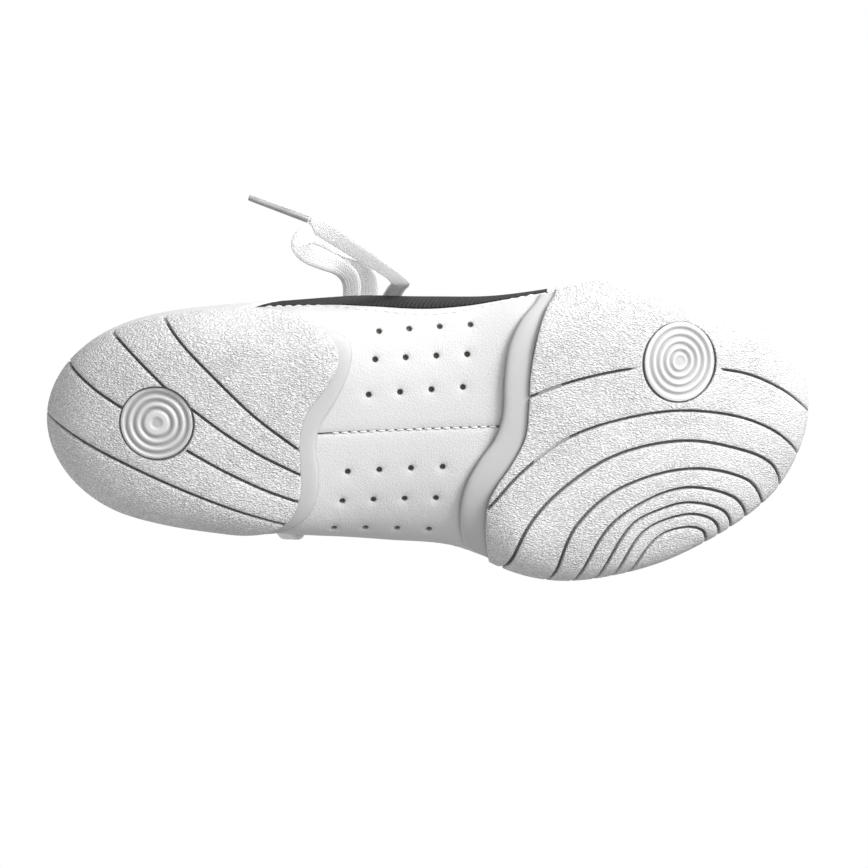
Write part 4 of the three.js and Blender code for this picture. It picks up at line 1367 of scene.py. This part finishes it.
def plan_line(outline, inset, grow):
    """A line inside an outline in plan, as points and outward directions on the upper."""
    line = beside(outline, inset)
    points = over_place(grow, line)
    return points, up_from_foot(points)


def up_from_foot(points):
    """Rough outward directions, away from the core of the foot."""
    core = np.stack([np.clip(points[:, 0], 40, 240), np.full(len(points), CENTRE_Y),
                     np.full(len(points), 32.0)], axis=1)
    out = points - core
    return out / np.linalg.norm(out, axis=1, keepdims=True)


def insole_layer(name, lift, thickness, inset, end_x, material, slot, rounding, spacing):
    outline = np.array([rib(a, s, -inset)[2:] for s, angles in
                        ((-1, np.linspace(0, math.pi, 120)), (1, np.linspace(math.pi, 0, 120)))
                        for a in angles])
    outline = outline[outline[:, 0] < end_x]
    outline = resampled(np.concatenate([outline, outline[:1]]), 1.4)
    points, faces, _ = sole_sheet(
        lambda flat: INSIDE_SKIN.from_plan(flat, False, INSIDE_SKIN.grow) + [0, 0, lift + thickness],
        [outline], (), (), thickness, rounding=rounding, spacing=spacing, facing=1)
    piece = make_piece(name, points, faces, material)
    return fit(piece, "arch", slot, name)


def lining():
    """One soft sock inside the leather, from the heel to behind the toes."""
    skin = Skin(-3.35)

    def half(side):
        low = skin.crossing(side, above(keel_height, -4.0), 0.02)
        high = skin.crossing(side, below_lining, first=0.3)
        return Patch(skin, side, low, high, 0.0, upright(206), np.linspace(0, 1, 30),
                     np.linspace(0, 1, 90)).points

    grid = round_the_heel(half)
    piece, _, _ = skin_shell("upper_lining", grid, -1, LINING, thickness=0.6, wave=0.3)
    return fit(piece, "arch", "lining_fabric", "upper_lining")


def below_lining(p):
    """Rises through zero where the lining ends, short of the collar and the throat."""
    x, y, z = p[..., 0], p[..., 1], p[..., 2]
    collar = z - (collar_pad_low(x) - 0.8)
    throat = np.where(z > 40, THROAT_HALF_WIDTH + 9 - np.abs(y - CENTRE_Y), -1)
    return np.where(x < 96, collar, throat)


def upper():
    shells = {}
    for name, make in (("heel_quarter", heel_quarter), ("toe_vamp", toe_vamp),
                       ("toe_cap", toe_cap)):
        piece, grid, normals = make()
        fit(piece, "rear" if name == "heel_quarter" else "forefoot", "white_leather", name)
        shells[name] = grid, normals
    for side, word in ((1, "lateral"), (-1, "medial")):
        piece, grid, normals = side_panel(side, f"{word}_side_panel")
        fit(piece, "arch", "dark_textile", f"{word}_side_panel")
        shells[f"{word}_side_panel"] = grid, normals
        fit(eyestay(side, f"{word}_eyestay"), "arch", "white_leather", f"{word}_eyestay")
    lining()
    return shells


def seams(shells):
    """Rows of white thread, one piece for each body that they follow."""
    def row(name, edge, inset):
        grid, normals = shells[name]
        return seam_line(grid, edge, inset), seam_line_directions(grid, normals, edge, inset)

    rear = [row("heel_quarter", edge, inset) for edge, inset in
            (("rear", SEAM_INSET), ("front", SEAM_INSET), ("high", COLLAR_ROW))]
    fore = [row(name, edge, inset) for name, edge, inset in
            (("toe_vamp", "rear", SEAM_INSET), ("toe_vamp", "rear", SECOND_ROW),
             ("toe_vamp", "front", SEAM_INSET), ("toe_cap", "rear", SEAM_INSET),
             ("toe_cap", "front", SEAM_INSET))]
    arch = []
    for side in (1, -1):
        arch.append(plan_line(eyestay_outline(side), SEAM_INSET, EYESTAY_LIFT))
        angles = np.linspace(float(angle_at(74)), float(angle_at(170)), 90)
        top = LEATHER_SKIN.crossing(side, above(wrap_top[side], 2.3))
        points = LEATHER_SKIN.at(side, angles, np.interp(angles, LEATHER_SKIN.angles, top))
        out = np.stack([0 * angles, side * np.ones(len(angles)), -0.8 + 0 * angles], axis=1)
        arch.append((resampled(points, SEAM_STEP), resampled_like(out, points)))
    fit(stitches("stitching_rear", rear, WHITE_THREAD), "rear", "white_leather")
    fit(stitches("stitching_forefoot", fore, WHITE_THREAD), "forefoot", "white_leather")
    fit(stitches("stitching_arch", arch, WHITE_THREAD, length=2.6, pitch=3.4), "arch",
        "white_leather")
    seam = spline([(96, -0.6), (120, -1.6), (140, -2.4), (154, -3)], 1.0)
    line = LEATHER_SKIN.from_flat(seam)
    down = np.tile([0.0, 0.0, -1.0], (len(line), 1))
    fit(stitches("stitching_sole_seam", [(line, down)], WHITE_THREAD, length=2.5, pitch=3.2,
                 radius=0.3, lift=-0.3), "arch", "white_leather")


def seam_line_directions(grid, normals, edge, inset):
    """Outward directions along a seam line, from the nearest grid points."""
    line = seam_line(grid, edge, inset)
    flat, out = grid.reshape(-1, 3), normals.reshape(-1, 3)
    nearest = [int(((flat - p) ** 2).sum(1).argmin()) for p in line]
    return out[nearest]


def resampled_like(values, points):
    run = along(points)
    count = len(resampled(points, SEAM_STEP))
    places = np.linspace(0, run[-1], count)
    return np.stack([np.interp(places, run, values[:, k]) for k in range(values.shape[1])], axis=1)


def heel_counter():
    low, high = ({s: INSIDE_SKIN.crossing(s, lambda p, z=z: p[..., 2] - z, first)
                  for s in (1, -1)} for z, first in ((14, 0), (46, 0.3)))
    front = upright(60)
    grid = round_the_heel(lambda s: Patch(INSIDE_SKIN, s, low[s], high[s], 0.0, front,
                                         np.linspace(0, 1, 20), np.linspace(0, 1, 44)).points)
    return stiffener("heel_counter", grid, "rear")


def toe_puff():
    wrap, _ = fore_wrap(0)
    low = {s: INSIDE_SKIN.crossing(s, above(wrap, -2)) for s in (1, -1)}
    rear = upright(209)
    grid = round_the_toe(lambda s: Patch(INSIDE_SKIN, s, low[s], INSIDE_SKIN.length[s], rear,
                                         math.pi, np.linspace(0, 1, 24), np.linspace(0, 1, 40)
                                         ).points)
    return stiffener("toe_puff", grid, "forefoot")


def stiffener(name, grid, body):
    piece, _, _ = skin_shell(name, grid, -1, BOARD, thickness=0.8, wave=0.1, rounding=0.3,
                             round_edges=("rear", "front", "low"))
    return fit(piece, body, "stiffener_board", name)


shells = upper()
seams(shells)
insole_layer("insole_board", lift=0.0, thickness=2.0, inset=5.0, end_x=275, material=BOARD,
             slot="stiffener_board", rounding=0.4, spacing=3.0)
insole_layer("insole", lift=2.3, thickness=4.0, inset=7.5, end_x=256, material=INSOLE_CLOTH,
             slot="insole_fabric", rounding=1.6, spacing=2.4)
heel_counter()
toe_puff()


# ---- Laces: flat woven ribbons ----
LACE_WIDTH, LACE_THICKNESS = 6.8, 1.7
AGLET_LENGTH, AGLET_RADIUS, AGLET_FILM = 21.0, 1.1, 0.13
LACE_STEP = 0.9             # between the rings of a swept lace
FACING_UP = [(0, (0, 0, 1)), (1, (0, 0, 1))]

medial_loop_route = [
    (108.4, -8.6, 90.6), (111.5, -18, 90.6), (115, -29, 87.5), (117, -39, 82), (115.5, -47, 75.5),
    (110, -53.5, 69.5), (103.3, -58.8, 64), (96, -62.7, 60), (91, -63.2, 56.5), (88.8, -60, 54.4),
    (91.5, -56.8, 55.2), (97, -54.2, 59), (103.5, -51.5, 64.5), (108.5, -46.5, 71.5),
    (110, -39, 77.5), (109.2, -29.5, 82.5), (107, -19, 86.6), (104.8, -11, 88.4),
    (105.6, -6.6, 88.6)]
lateral_loop_route = [
    (108.4, 4.6, 90.6), (106, 13, 91), (103, 23, 87.5), (99, 33, 81), (94.5, 41, 72.5),
    (90, 46, 63.5), (87, 47, 57), (84.5, 43.5, 55.5), (84.5, 38.5, 60), (87.5, 33, 68),
    (92.5, 26, 76.5), (98.5, 16.5, 83.5), (103.5, 7, 87.8), (105.6, 2.6, 88.6)]
medial_end_route = [
    (116.8, -9, 88.4), (118, -17, 85.6), (119.5, -26, 80.5), (121.5, -34.5, 72),
    (122.5, -41, 60), (122.5, -45.6, 46), (122, -48.4, 33), (120.6, -51, 21), (117, -54.4, 11),
    (111, -58.6, 4.4), (103.5, -63.4, 1.9), (95.5, -68.6, 1.6), (87.4, -73.6, 1.6)]
lateral_end_route = [
    (115.4, 4.2, 88), (121, 12.5, 84.6), (129, 20, 78), (137, 27, 70.5), (143.5, 34, 61.8),
    (147, 40.2, 53), (148.8, 44.8, 45)]
medial_aglet_tip = (67.6, -80.6, 1.6)
lateral_aglet_tip = (160.6, 49.8, 27.6)


def turned(line, faces):
    """Unit directions across and out of a ribbon that faces a direction at each share of its
    length."""
    tangent = np.gradient(line, axis=0)
    tangent /= np.linalg.norm(tangent, axis=1, keepdims=True)
    shares = np.linspace(0, 1, len(line))
    at = [share for share, _ in faces]
    face = np.stack([np.interp(shares, at, [direction[k] for _, direction in faces])
                     for k in range(3)], axis=1)
    across = np.cross(face, tangent)
    across /= np.linalg.norm(across, axis=1, keepdims=True)
    return across, np.cross(tangent, across)


def ribbon_mesh(line, faces, width, thickness, ends=(1.0, 1.0)):
    """Points, quads and (along, across) places of a soft flat tube swept along a line."""
    across, out = turned(line, faces)
    corners = 16
    turn = np.linspace(0, 2 * math.pi, corners, endpoint=False)
    wide = np.sign(np.cos(turn)) * np.abs(np.cos(turn)) ** 0.75
    tall = np.sign(np.sin(turn)) * np.abs(np.sin(turn)) ** 0.6
    tall = tall * (0.78 + 0.22 * np.abs(wide))
    run = along(line)
    count = len(line)
    pinch = np.ones(count)
    for k, end in ((0, ends[0]), (-1, ends[1])):
        near = np.clip(np.abs(run - run[k]) / 5.0, 0, 1)
        pinch = pinch * (end + (1 - end) * ease(near))
    points = (line[:, None] + across[:, None] * (wide * width / 2)[None, :, None]
              * pinch[:, None, None]
              + out[:, None] * (tall * thickness / 2)[None, :, None]
              * (2 - pinch)[:, None, None] ** 0.6)
    points += organic(points.reshape(-1, 3), 9, 0.22, 4.0).reshape(count, corners, 1) * out[:, None]
    places = np.stack([np.repeat(run, corners), np.tile(wide * width / 2, count)], axis=1)
    return points.reshape(-1, 3), tube_faces(count, corners), places


def add_places(piece, places):
    """Stores places along and across a lace, in millimetres, as the piece's UVs."""
    mesh = piece.data
    layer = mesh.uv_layers.new(name="lace")
    corner = np.empty(len(mesh.loops), int)
    mesh.loops.foreach_get("vertex_index", corner)
    layer.data.foreach_set("uv", places[corner].astype(np.float32).ravel())


def ribbon(name, line, faces, thickness=LACE_THICKNESS, ends=(1.0, 1.0)):
    points, quads, places = ribbon_mesh(line, faces, LACE_WIDTH, thickness, ends)
    piece = make_piece(name, points, quads, LACE, sharp=70)
    add_places(piece, places)
    return piece


def aglet(name, start, tip):
    """A tube of clear film rolled round the crushed lace, with its overlap showing as a step."""
    start, tip = np.array(start, float), np.array(tip, float)
    ahead = tip - start
    ahead /= np.linalg.norm(ahead)
    side = np.cross(ahead, [0, 0, 1])
    side /= np.linalg.norm(side)
    up = np.cross(side, ahead)
    length = AGLET_LENGTH
    stations = [(0.0, 0.80), (0.0, 1.26), (0.35, 1.33), (length * 0.3, 1.27), (length * 0.7, 1.18),
                (length - 0.5, 1.1), (length - 0.1, 1.02), (length, 0.85), (length, 0.6),
                (length - 0.8, 0.45)]
    corners = 40
    points = []
    for run, radius in stations:
        for j in range(corners):
            turn = 2 * math.pi * j / corners
            step = AGLET_FILM * (1 - turn / (2 * math.pi)) if radius > 1 else 0
            flat = 1 - 0.12 * abs(math.cos(turn))
            r = (radius - step) * AGLET_RADIUS / 1.15
            points.append(start + ahead * (run + 0.6) + side * math.cos(turn) * r
                          + up * math.sin(turn) * r * flat)
    faces = [f[::-1] for f in tube_faces(len(stations), corners)]
    return make_piece(name, np.array(points), faces, AGLET, sharp=40)


def bow_loop(name, route, faces):
    line = spline(route, LACE_STEP)
    piece = ribbon(name, line, faces, thickness=2.1)
    fit(piece, "rear", "lace_weave", name)
    path = metres(line)
    along(line)[-1] * MM


def lace_end(name, route, tip, tip_name, faces):
    line = spline(route, LACE_STEP)
    piece = ribbon(name, line, faces, ends=(1.0, 0.34))
    end = aglet(tip_name, route[-1], tip)
    fit(piece, "rear", "lace_weave", name)
    fit(end, "rear", "aglet_plastic", tip_name)
    path = metres(line)
    along(line)[-1] * MM


def over_lace(x, y, lift):
    return over_place(lift, [(x, CENTRE_Y + y)])[0]


def lace_bar(k, x):
    """A lace straight across the throat, diving into its two holes."""
    lift, dive = 3.3, [0, 0, -1.4]
    line = [over_lace(x, y, lift) for y in (-15, -12.5, -9, -4.5, 0, 4.5, 9, 12.5, 15)]
    for end in (0, -1):
        line[end] = line[end] + dive
    piece = ribbon(f"lace_bar_{k}", spline(line, LACE_STEP), FACING_UP, ends=(0.5, 0.5))
    return fit(piece, "arch", "lace_weave", f"lace_bar_{k}")


def bow_knot():
    """The wrap of lace round the middle of the bow, over the topmost bar."""
    x = LACE_HOLES_X[0]
    middle = np.array([x, CENTRE_Y, 0.0])
    middle[2] = over_lace(x, 0, 0)[2] + 5
    turns = np.linspace(0, 2 * math.pi * 1.04, 60)
    wrap = middle + np.stack([7.0 * np.cos(turns), 0.7 * (turns - math.pi),
                              4.2 * np.sin(turns)], axis=1)
    centre_out = [(k / 11, (wrap[int(k * 59 / 11)] - middle) * [1, 0.01, 1]) for k in range(12)]
    pieces, shift = [ribbon_mesh(resampled(wrap, 0.8), centre_out, 7.6, 1.8)], 0
    for side in (-1, 1):
        tie = [over_lace(x, side * 15, 2.2), over_lace(x, side * 13, 3.4),
               over_lace(x, side * 9, 3.8), middle + [0, side * 4.5, -0.8], middle + [0, 0, 0.2]]
        pieces.append(ribbon_mesh(spline(tie, LACE_STEP), FACING_UP, LACE_WIDTH, LACE_THICKNESS,
                                  ends=(0.5, 0.8)))
        for offset in (-1, 1):
            bulge = [middle + [offset * -3.4, side * 1.0, 1.0],
                     middle + [offset * -3.4, side * 4, 1.2],
                     middle + [offset * -3.3, side * 7.4, -0.2 if offset > 0 else -1.4]]
            pieces.append(ribbon_mesh(spline(bulge, LACE_STEP),
                                      [(0, (0.3, 0, 1)), (1, (0.3, 0, 1))], 5.4, 2.6))
    points, faces, places = [], [], []
    for part, quads, spots in pieces:
        points.append(part)
        faces += [tuple(v + shift for v in f) for f in quads]
        places.append(spots)
        shift += len(part)
    piece = make_piece("lace_knot", np.concatenate(points), faces, LACE, 70)
    add_places(piece, np.concatenate(places))
    return fit(piece, "rear", "lace_weave", "lace_knot")


def laces():
    below = tuple(-VIEW_ALONG)
    bow_loop("medial_bow_loop", medial_loop_route,
             [(0, (0.4, 0, 1)), (0.25, (0.1, -0.7, 0.7)), (0.45, below), (0.6, below),
              (0.8, (0.2, 0.5, -0.8)), (1, (0.3, -0.2, -1))])
    bow_loop("lateral_bow_loop", lateral_loop_route,
             [(0, (0.8, 0, 1)), (0.08, (1, 0.2, 0.4)), (0.3, (0.7, 0.75, 0.3)),
              (0.46, (0, 0.95, 0.2)), (0.56, (-0.1, 0.4, -0.9)), (0.64, (-0.3, -0.7, -0.5)),
              (0.76, (-0.8, -0.5, -0.3)), (0.86, (-1, -0.2, -0.2)), (0.94, (-1, 0, -0.5)),
              (1, (-0.6, 0.2, -1))])
    lace_end("medial_lace_end", medial_end_route, medial_aglet_tip, "medial_aglet",
             [(0, (0.2, -0.2, 1)), (0.35, (0, -1, 0.4)), (0.7, (0, -1, 0.2)), (0.9, (0.1, -0.5, 1)),
              (1, (0, 0, 1))])
    lace_end("lateral_lace_end", lateral_end_route, lateral_aglet_tip, "lateral_aglet",
             [(0, (0.2, 0.2, 1)), (0.5, (0.2, 1, 0.5)), (1, (0.1, 1, 0.1))])
    for k, x in enumerate(LACE_HOLES_X[1:], 1):
        lace_bar(k, x)
    bow_knot()


laces()


# ---- Heel tab ----
TAB_HALF_WIDTH, TAB_LIFT = 8.5, 1.5


def tab_point(side, angle, z):
    """The point of the back of the heel, just over the quarter, at a rib angle and a height."""
    grow = (TAB_LIFT, 0, TAB_LIFT)
    shares = np.linspace(1, 0, 80)
    line = foot_point(np.full(80, angle), side, shares, True, grow)
    share = np.interp(z, line[:, 2], shares)
    return foot_point(np.array([angle]), side, np.array([share]), True, grow)[0]


def heel_tab():
    heights = np.concatenate([[47, 47.3, 47.8, 48.6], np.linspace(50.5, 68.5, 12),
                              [70.2, 71, 71.5, 71.8]])
    near_heel = LEATHER_SKIN.angles[:40]
    spread = np.array([0, 0.3, 0.55, 0.75, 0.87, 0.94, 0.98, 1])

    def half(side):
        reach = np.interp(TAB_HALF_WIDTH, side * (rib(near_heel, side, TAB_LIFT)[3] - CENTRE_Y),
                          near_heel)
        return np.array([[tab_point(side, a, z) for a in spread * reach] for z in heights])

    grid = round_the_heel(half)
    piece, _, _ = skin_shell("heel_tab", grid, -1, WHITE_LEATHER, thickness=1.1, wave=0.1,
                             seams=(("rear", 1.6), ("front", 1.6)),
                             round_edges=("rear", "front", "low", "high"))
    return fit(piece, "rear", "white_leather", "heel_tab")


heel_tab()


# ---- Padded pieces ----
SWELL_FRAMES = 20


def inflate(piece, voxel, pressure=4.0, cap=0.9):
    """Swells a closed, slightly slack cover like stuffed cloth; no point moves past the cap."""
    remesh = piece.modifiers.new("even", "REMESH")
    remesh.mode, remesh.voxel_size = "VOXEL", voxel * MM
    settle(piece)
    start = np.empty(len(piece.data.vertices) * 3)
    piece.data.vertices.foreach_get("co", start)
    cloth = piece.modifiers.new("stuffing", "CLOTH")
    values = cloth.settings
    values.quality, values.mass = 6, 0.15
    values.use_pressure, values.uniform_pressure_force = True, pressure
    values.tension_stiffness = values.compression_stiffness = 15.0
    values.bending_stiffness = 0.5
    values.effector_weights.gravity = 0
    cloth.collision_settings.use_collision = False
    scene = bpy.context.scene
    cloth.point_cache.frame_start, cloth.point_cache.frame_end = 1, SWELL_FRAMES
    for frame_number in range(1, SWELL_FRAMES + 1):
        scene.frame_set(frame_number)
    settle(piece)
    scene.frame_set(1)
    end = np.empty_like(start)
    piece.data.vertices.foreach_get("co", end)
    moved_by = (end - start).reshape(-1, 3)
    length = np.linalg.norm(moved_by, axis=1, keepdims=True)
    moved_by *= np.minimum(1, cap * MM / np.maximum(length, 1e-9))
    piece.data.vertices.foreach_set("co", (start.reshape(-1, 3) + moved_by).ravel())
    smoother = piece.modifiers.new("fine", "SUBSURF")
    smoother.levels = smoother.render_levels = 1
    settle(piece)
    piece.data.shade_smooth()


def settle(piece):
    """Applies the piece's modifiers to its mesh."""
    depsgraph = bpy.context.evaluated_depsgraph_get()
    made = bpy.data.meshes.new_from_object(piece.evaluated_get(depsgraph))
    piece.modifiers.clear()
    old, piece.data = piece.data, made
    made.name = old.name


def collar_pad():
    """A soft roll inside the ankle opening, standing a little above the leather."""
    high_line = smooth([(-10, 71.4), (8, 71.2), (20, 67.4), (45, 59.4), (66, 55.4), (84, 59.4),
                        (96, 65.5)])
    skin = Skin(-2.0)

    def half(side):
        low, high = (skin.crossing(side, above(line), first=0.3)
                     for line in (collar_pad_low, high_line))
        return Patch(skin, side, low, high, 0.0, upright(91.5), np.linspace(0, 1, 15),
                     np.linspace(0, 1, 60)).points

    grid = round_the_heel(half)
    rows, columns = grid.shape[:2]
    normals = vertex_normals(grid.reshape(-1, 3), grid_faces(rows, columns, -1)).reshape(grid.shape)
    ends = np.minimum(np.arange(columns), np.arange(columns)[::-1]) / 4
    share = np.linspace(0, 1, rows)[:, None]
    full = (4 * share * (1 - share)) ** 0.45 * np.sqrt(np.clip(ends, 0, 1))[None, :]
    back = grid - normals * (0.35 + 3.2 * full)[..., None]
    front_side = grid + normals * (-0.25 * (1 - full))[..., None]
    faces = grid_faces(rows, columns, -1)
    points, shell = thickened(front_side.reshape(-1, 3), faces, (back - front_side).reshape(-1, 3))
    piece = make_piece("collar_pad", points, shell, LINING)
    inflate(piece, voxel=1.7)
    fit(piece, "rear", "lining_fabric", "collar_pad")
    seam = back[3, 2:-2] - normals[3, 2:-2] * 0.15
    row = resampled(seam, SEAM_STEP), resampled_like(-normals[3, 2:-2], seam)
    fit(stitches("stitching_collar", [row], WHITE_THREAD), "rear", "lining_fabric")


TONGUE_LINE = spline([(102.5, CENTRE_Y, 79.5), (97, CENTRE_Y, 86), (91, CENTRE_Y, 95),
                      (86.5, CENTRE_Y, 105)], 0.5)
TONGUE_SLOPES = np.gradient(TONGUE_LINE, axis=0)
TONGUE_WIDTH = smooth([(0, 14), (0.35, 19), (0.7, 22), (0.92, 19), (1, 14)])
TONGUE_FULLNESS = smooth([(0, 2.2), (0.4, 3.4), (0.8, 3.6), (1, 1.4)])
TONGUE_CURL, TONGUE_ROUNDNESS = 5, 0.7


def tongue_ring(share):
    """Centre and front direction of the tongue's top at a share of its height."""
    place = share * (len(TONGUE_LINE) - 1)
    at = np.array([np.interp(place, np.arange(len(TONGUE_LINE)), TONGUE_LINE[:, k])
                   for k in range(3)])
    slope = TONGUE_SLOPES[int(round(place))]
    slope = slope / np.linalg.norm(slope)
    return at, np.array([slope[2], 0, -slope[0]])


def tongue_surface(share, across, turn, slack):
    at, front = tongue_ring(share)
    half = float(TONGUE_WIDTH(share)) - slack
    full = float(TONGUE_FULLNESS(share)) - slack
    return (at + [0, across * half, 0]
            + front * (math.sin(turn) * full - TONGUE_CURL * across * across))


def tongue_top_pad():
    """The stuffed end of the tongue, with a sewn border and two sewn channels."""
    corners, rings, slack = 48, 26, 0.7
    points = []
    for i in range(rings):
        share = 0.012 + 0.976 * i / (rings - 1)
        for j in range(corners):
            turn = 2 * math.pi * j / corners
            across = math.copysign(abs(math.cos(turn)) ** TONGUE_ROUNDNESS, math.cos(turn))
            points.append(tongue_surface(share, across, turn, slack))
    faces = [f[::-1] for f in tube_faces(rings, corners)]
    piece = make_piece("tongue_top_pad", np.array(points), faces, TONGUE_LEATHER)
    inflate(piece, voxel=1.5)
    low, high = 0.22, 0.84
    channels = [[(share, across) for across in np.linspace(-0.86, 0.86, 50)]
                for share in (low, high)]
    channels += [[(share, side * 0.8) for share in np.linspace(low, high, 40)] for side in (-1, 1)]
    lines = []
    for channel in channels:
        for way in (1, -1):
            turns = [math.acos(math.copysign(abs(across) ** (1 / TONGUE_ROUNDNESS), across))
                     for _, across in channel]
            lines.append(np.array([tongue_surface(share, across, way * turn, slack / 2)
                                   for (share, across), turn in zip(channel, turns)]))
    press_channels(piece, lines)
    fit(piece, "tongue_flap", "tongue_leather", "tongue_top_pad")
    rows = []
    middle = tongue_ring(0.5)[0]
    for line in lines:
        line = resampled(line, SEAM_STEP)
        rows.append((line, surface_directions(piece, line, (line - middle) * [1, 0, 0])))
    fit(stitches("stitching_tongue", rows, WHITE_THREAD, lift=0.0), "tongue_flap", "tongue_leather")


def press_channels(piece, lines):
    """Pulls a pad in along its sewn lines."""
    width, depth = 1.1, 0.75
    mesh = piece.data
    count = len(mesh.vertices)
    places, normals = np.empty(count * 3), np.empty(count * 3)
    mesh.vertices.foreach_get("co", places)
    mesh.vertex_normals.foreach_get("vector", normals)
    places = places.reshape(-1, 3) / MM + ORIGIN
    normals = normals.reshape(-1, 3)
    line = np.concatenate([resampled(one, 0.6) for one in lines])
    near = np.array([((line - p) ** 2).sum(1).min() for p in places])
    places -= normals * (depth * np.exp(-near / width**2))[:, None]
    mesh.vertices.foreach_set("co", metres(places).ravel())
    mesh.update()


def surface_directions(piece, line, fallback):
    """Outward directions of a piece near the points of a line, which moves onto its surface."""
    tree = BVHTree.FromObject(piece, bpy.context.evaluated_depsgraph_get())
    out = fallback / np.linalg.norm(fallback, axis=1, keepdims=True)
    for k, point in enumerate(metres(line)):
        place, normal, _, _ = tree.find_nearest(Vector(point))
        if place is not None:
            line[k] = np.array(place) / MM + ORIGIN
            out[k] = normal
    return out


def tongue():
    """The flat part of the tongue under the laces, and the fold that carries its top."""
    outline = rounded_box(105.5, CENTRE_Y - 20, 189, CENTRE_Y + 20, 5.0)
    lift = -3.8
    points, faces, shade = sole_sheet(
        lambda flat: over_place(lift, flat), [outline], (), (), 3.6, rounding=1.3, spacing=2.4,
        facing=1, relief=lambda flat, depth: -0.5 * np.exp(-((depth - 4) / 0.9) ** 2))
    piece = make_piece("tongue", points, faces, TONGUE_LEATHER)
    add_shade(piece, shade)
    fit(piece, "arch", "tongue_leather", "tongue")
    edge = over_place(lift, [(108, CENTRE_Y)])[0]
    rows, columns = 10, 24
    path = spline([edge + [1.5, 0, -1.4], edge + [-1.5, 0, -0.9], (103.0, CENTRE_Y, 79.0),
                   (101.0, CENTRE_Y, 81.2)], 0.6)
    path = resampled(path, along(path)[-1] / (rows - 1))
    grid = np.array([[row + [0, y, -0.016 * y * y * (1 - 0.3 * k / rows)]
                      for y in np.linspace(-13.5, 13.5, columns)] for k, row in enumerate(path)])
    fold, _, _ = skin_shell("tongue_fold", grid, 1, TONGUE_LEATHER, thickness=1.2, wave=0.15)
    metres(edge + [-1.0, 0, -0.5])
    metres((102.2, CENTRE_Y, 80.0))
    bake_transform(fold)


collar_pad()
tongue()
tongue_top_pad()


# ---- Floor, light and world ----
def make_stage():
    """A pale floor that shows from above only, so the sole can be seen from underneath."""
    floor = bpy.data.meshes.new("floor")
    half, height = 4.0, -0.0004
    floor.from_pydata([(x * half, y * half, height) for x, y in
                       ((-1, -1), (1, -1), (1, 1), (-1, 1))], [], [(0, 1, 2, 3)])
    made = Surface("floor_paint", grey(0.86), 0.8, specular=0.2)
    made.tint(made.ramp(made.noise(300, 2), 0.4, 0.7, 0, 0.2), grey(0.82))
    shape = made.node("ShaderNodeNewGeometry")
    clear = made.node("ShaderNodeBsdfTransparent")
    mix = made.node("ShaderNodeMixShader")
    made.link(shape.outputs["Backfacing"], mix.inputs["Fac"])
    made.link(made.shader.outputs["BSDF"], mix.inputs[1])
    made.link(clear.outputs["BSDF"], mix.inputs[2])
    made.link(mix.outputs["Shader"], made.tree.nodes["Material Output"].inputs["Surface"])
    floor.materials.append(made.material)
    plane = bpy.data.objects.new("floor", floor)
    plane.visible_shadow = plane.visible_diffuse = plane.visible_glossy = False
    bpy.context.scene.collection.objects.link(plane)
    plane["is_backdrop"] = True


def area_light(name, toward, distance, size, power):
    """A soft square light that shines at the shoe from a direction."""
    data = bpy.data.lights.new(name, "AREA")
    data.size, data.energy = size, power
    light = bpy.data.objects.new(name, data)
    direction = Vector(toward).normalized()
    light.location = direction * distance
    light.rotation_mode = "QUATERNION"
    light.rotation_quaternion = direction.to_track_quat("Z", "Y")
    bpy.context.scene.collection.objects.link(light)


def make_light():
    away = -VIEW_ALONG
    area_light("key_below", VIEW_RIGHT * 1.05 + VIEW_UP * 0.85 + away * 0.8, 0.8, 0.3, 8.0)
    area_light("side_below", -VIEW_RIGHT + VIEW_UP * 0.1 + away * 0.5, 1.4, 0.8, 2.7)
    area_light("lateral_below", -VIEW_UP * 0.8 + VIEW_RIGHT * 0.4 + away * 0.7, 1.4, 0.9, 1.9)
    area_light("fill_below", away + VIEW_UP * 0.3 + VIEW_RIGHT * 0.35, 1.6, 1.2, 5.2)
    area_light("medial_edge", VIEW_UP + away * 0.15, 1.1, 0.6, 1.8)
    area_light("key_above", (0.5, -0.7, 1.0), 1.3, 0.6, 7.5)
    area_light("fill_above", (-0.8, 0.8, 0.9), 1.6, 1.0, 3.2)
    make_world()


def make_world():
    """A white backdrop to the camera that lights the shoe less strongly."""
    world = bpy.data.worlds.new("studio")
    world.use_nodes = True
    tree = world.node_tree
    soft = tree.nodes["Background"]
    soft.inputs["Color"].default_value = (1, 1, 1, 1)
    soft.inputs["Strength"].default_value = 0.38
    plain = tree.nodes.new("ShaderNodeBackground")
    plain.inputs["Color"].default_value = (1, 1, 1, 1)
    mix = tree.nodes.new("ShaderNodeMixShader")
    path = tree.nodes.new("ShaderNodeLightPath")
    tree.links.new(path.outputs["Is Camera Ray"], mix.inputs["Fac"])
    tree.links.new(soft.outputs["Background"], mix.inputs[1])
    tree.links.new(plain.outputs["Background"], mix.inputs[2])
    tree.links.new(mix.outputs["Shader"], tree.nodes["World Output"].inputs["Surface"])
    bpy.context.scene.world = world
    bpy.context.scene.view_settings.view_transform = "Standard"


make_stage()
make_light()

visual_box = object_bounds()
({"cad": [[round(v, 6) for v in c] for c in CAD_BOX],
           "visual": [[round(v, 6) for v in c] for c in visual_box]})
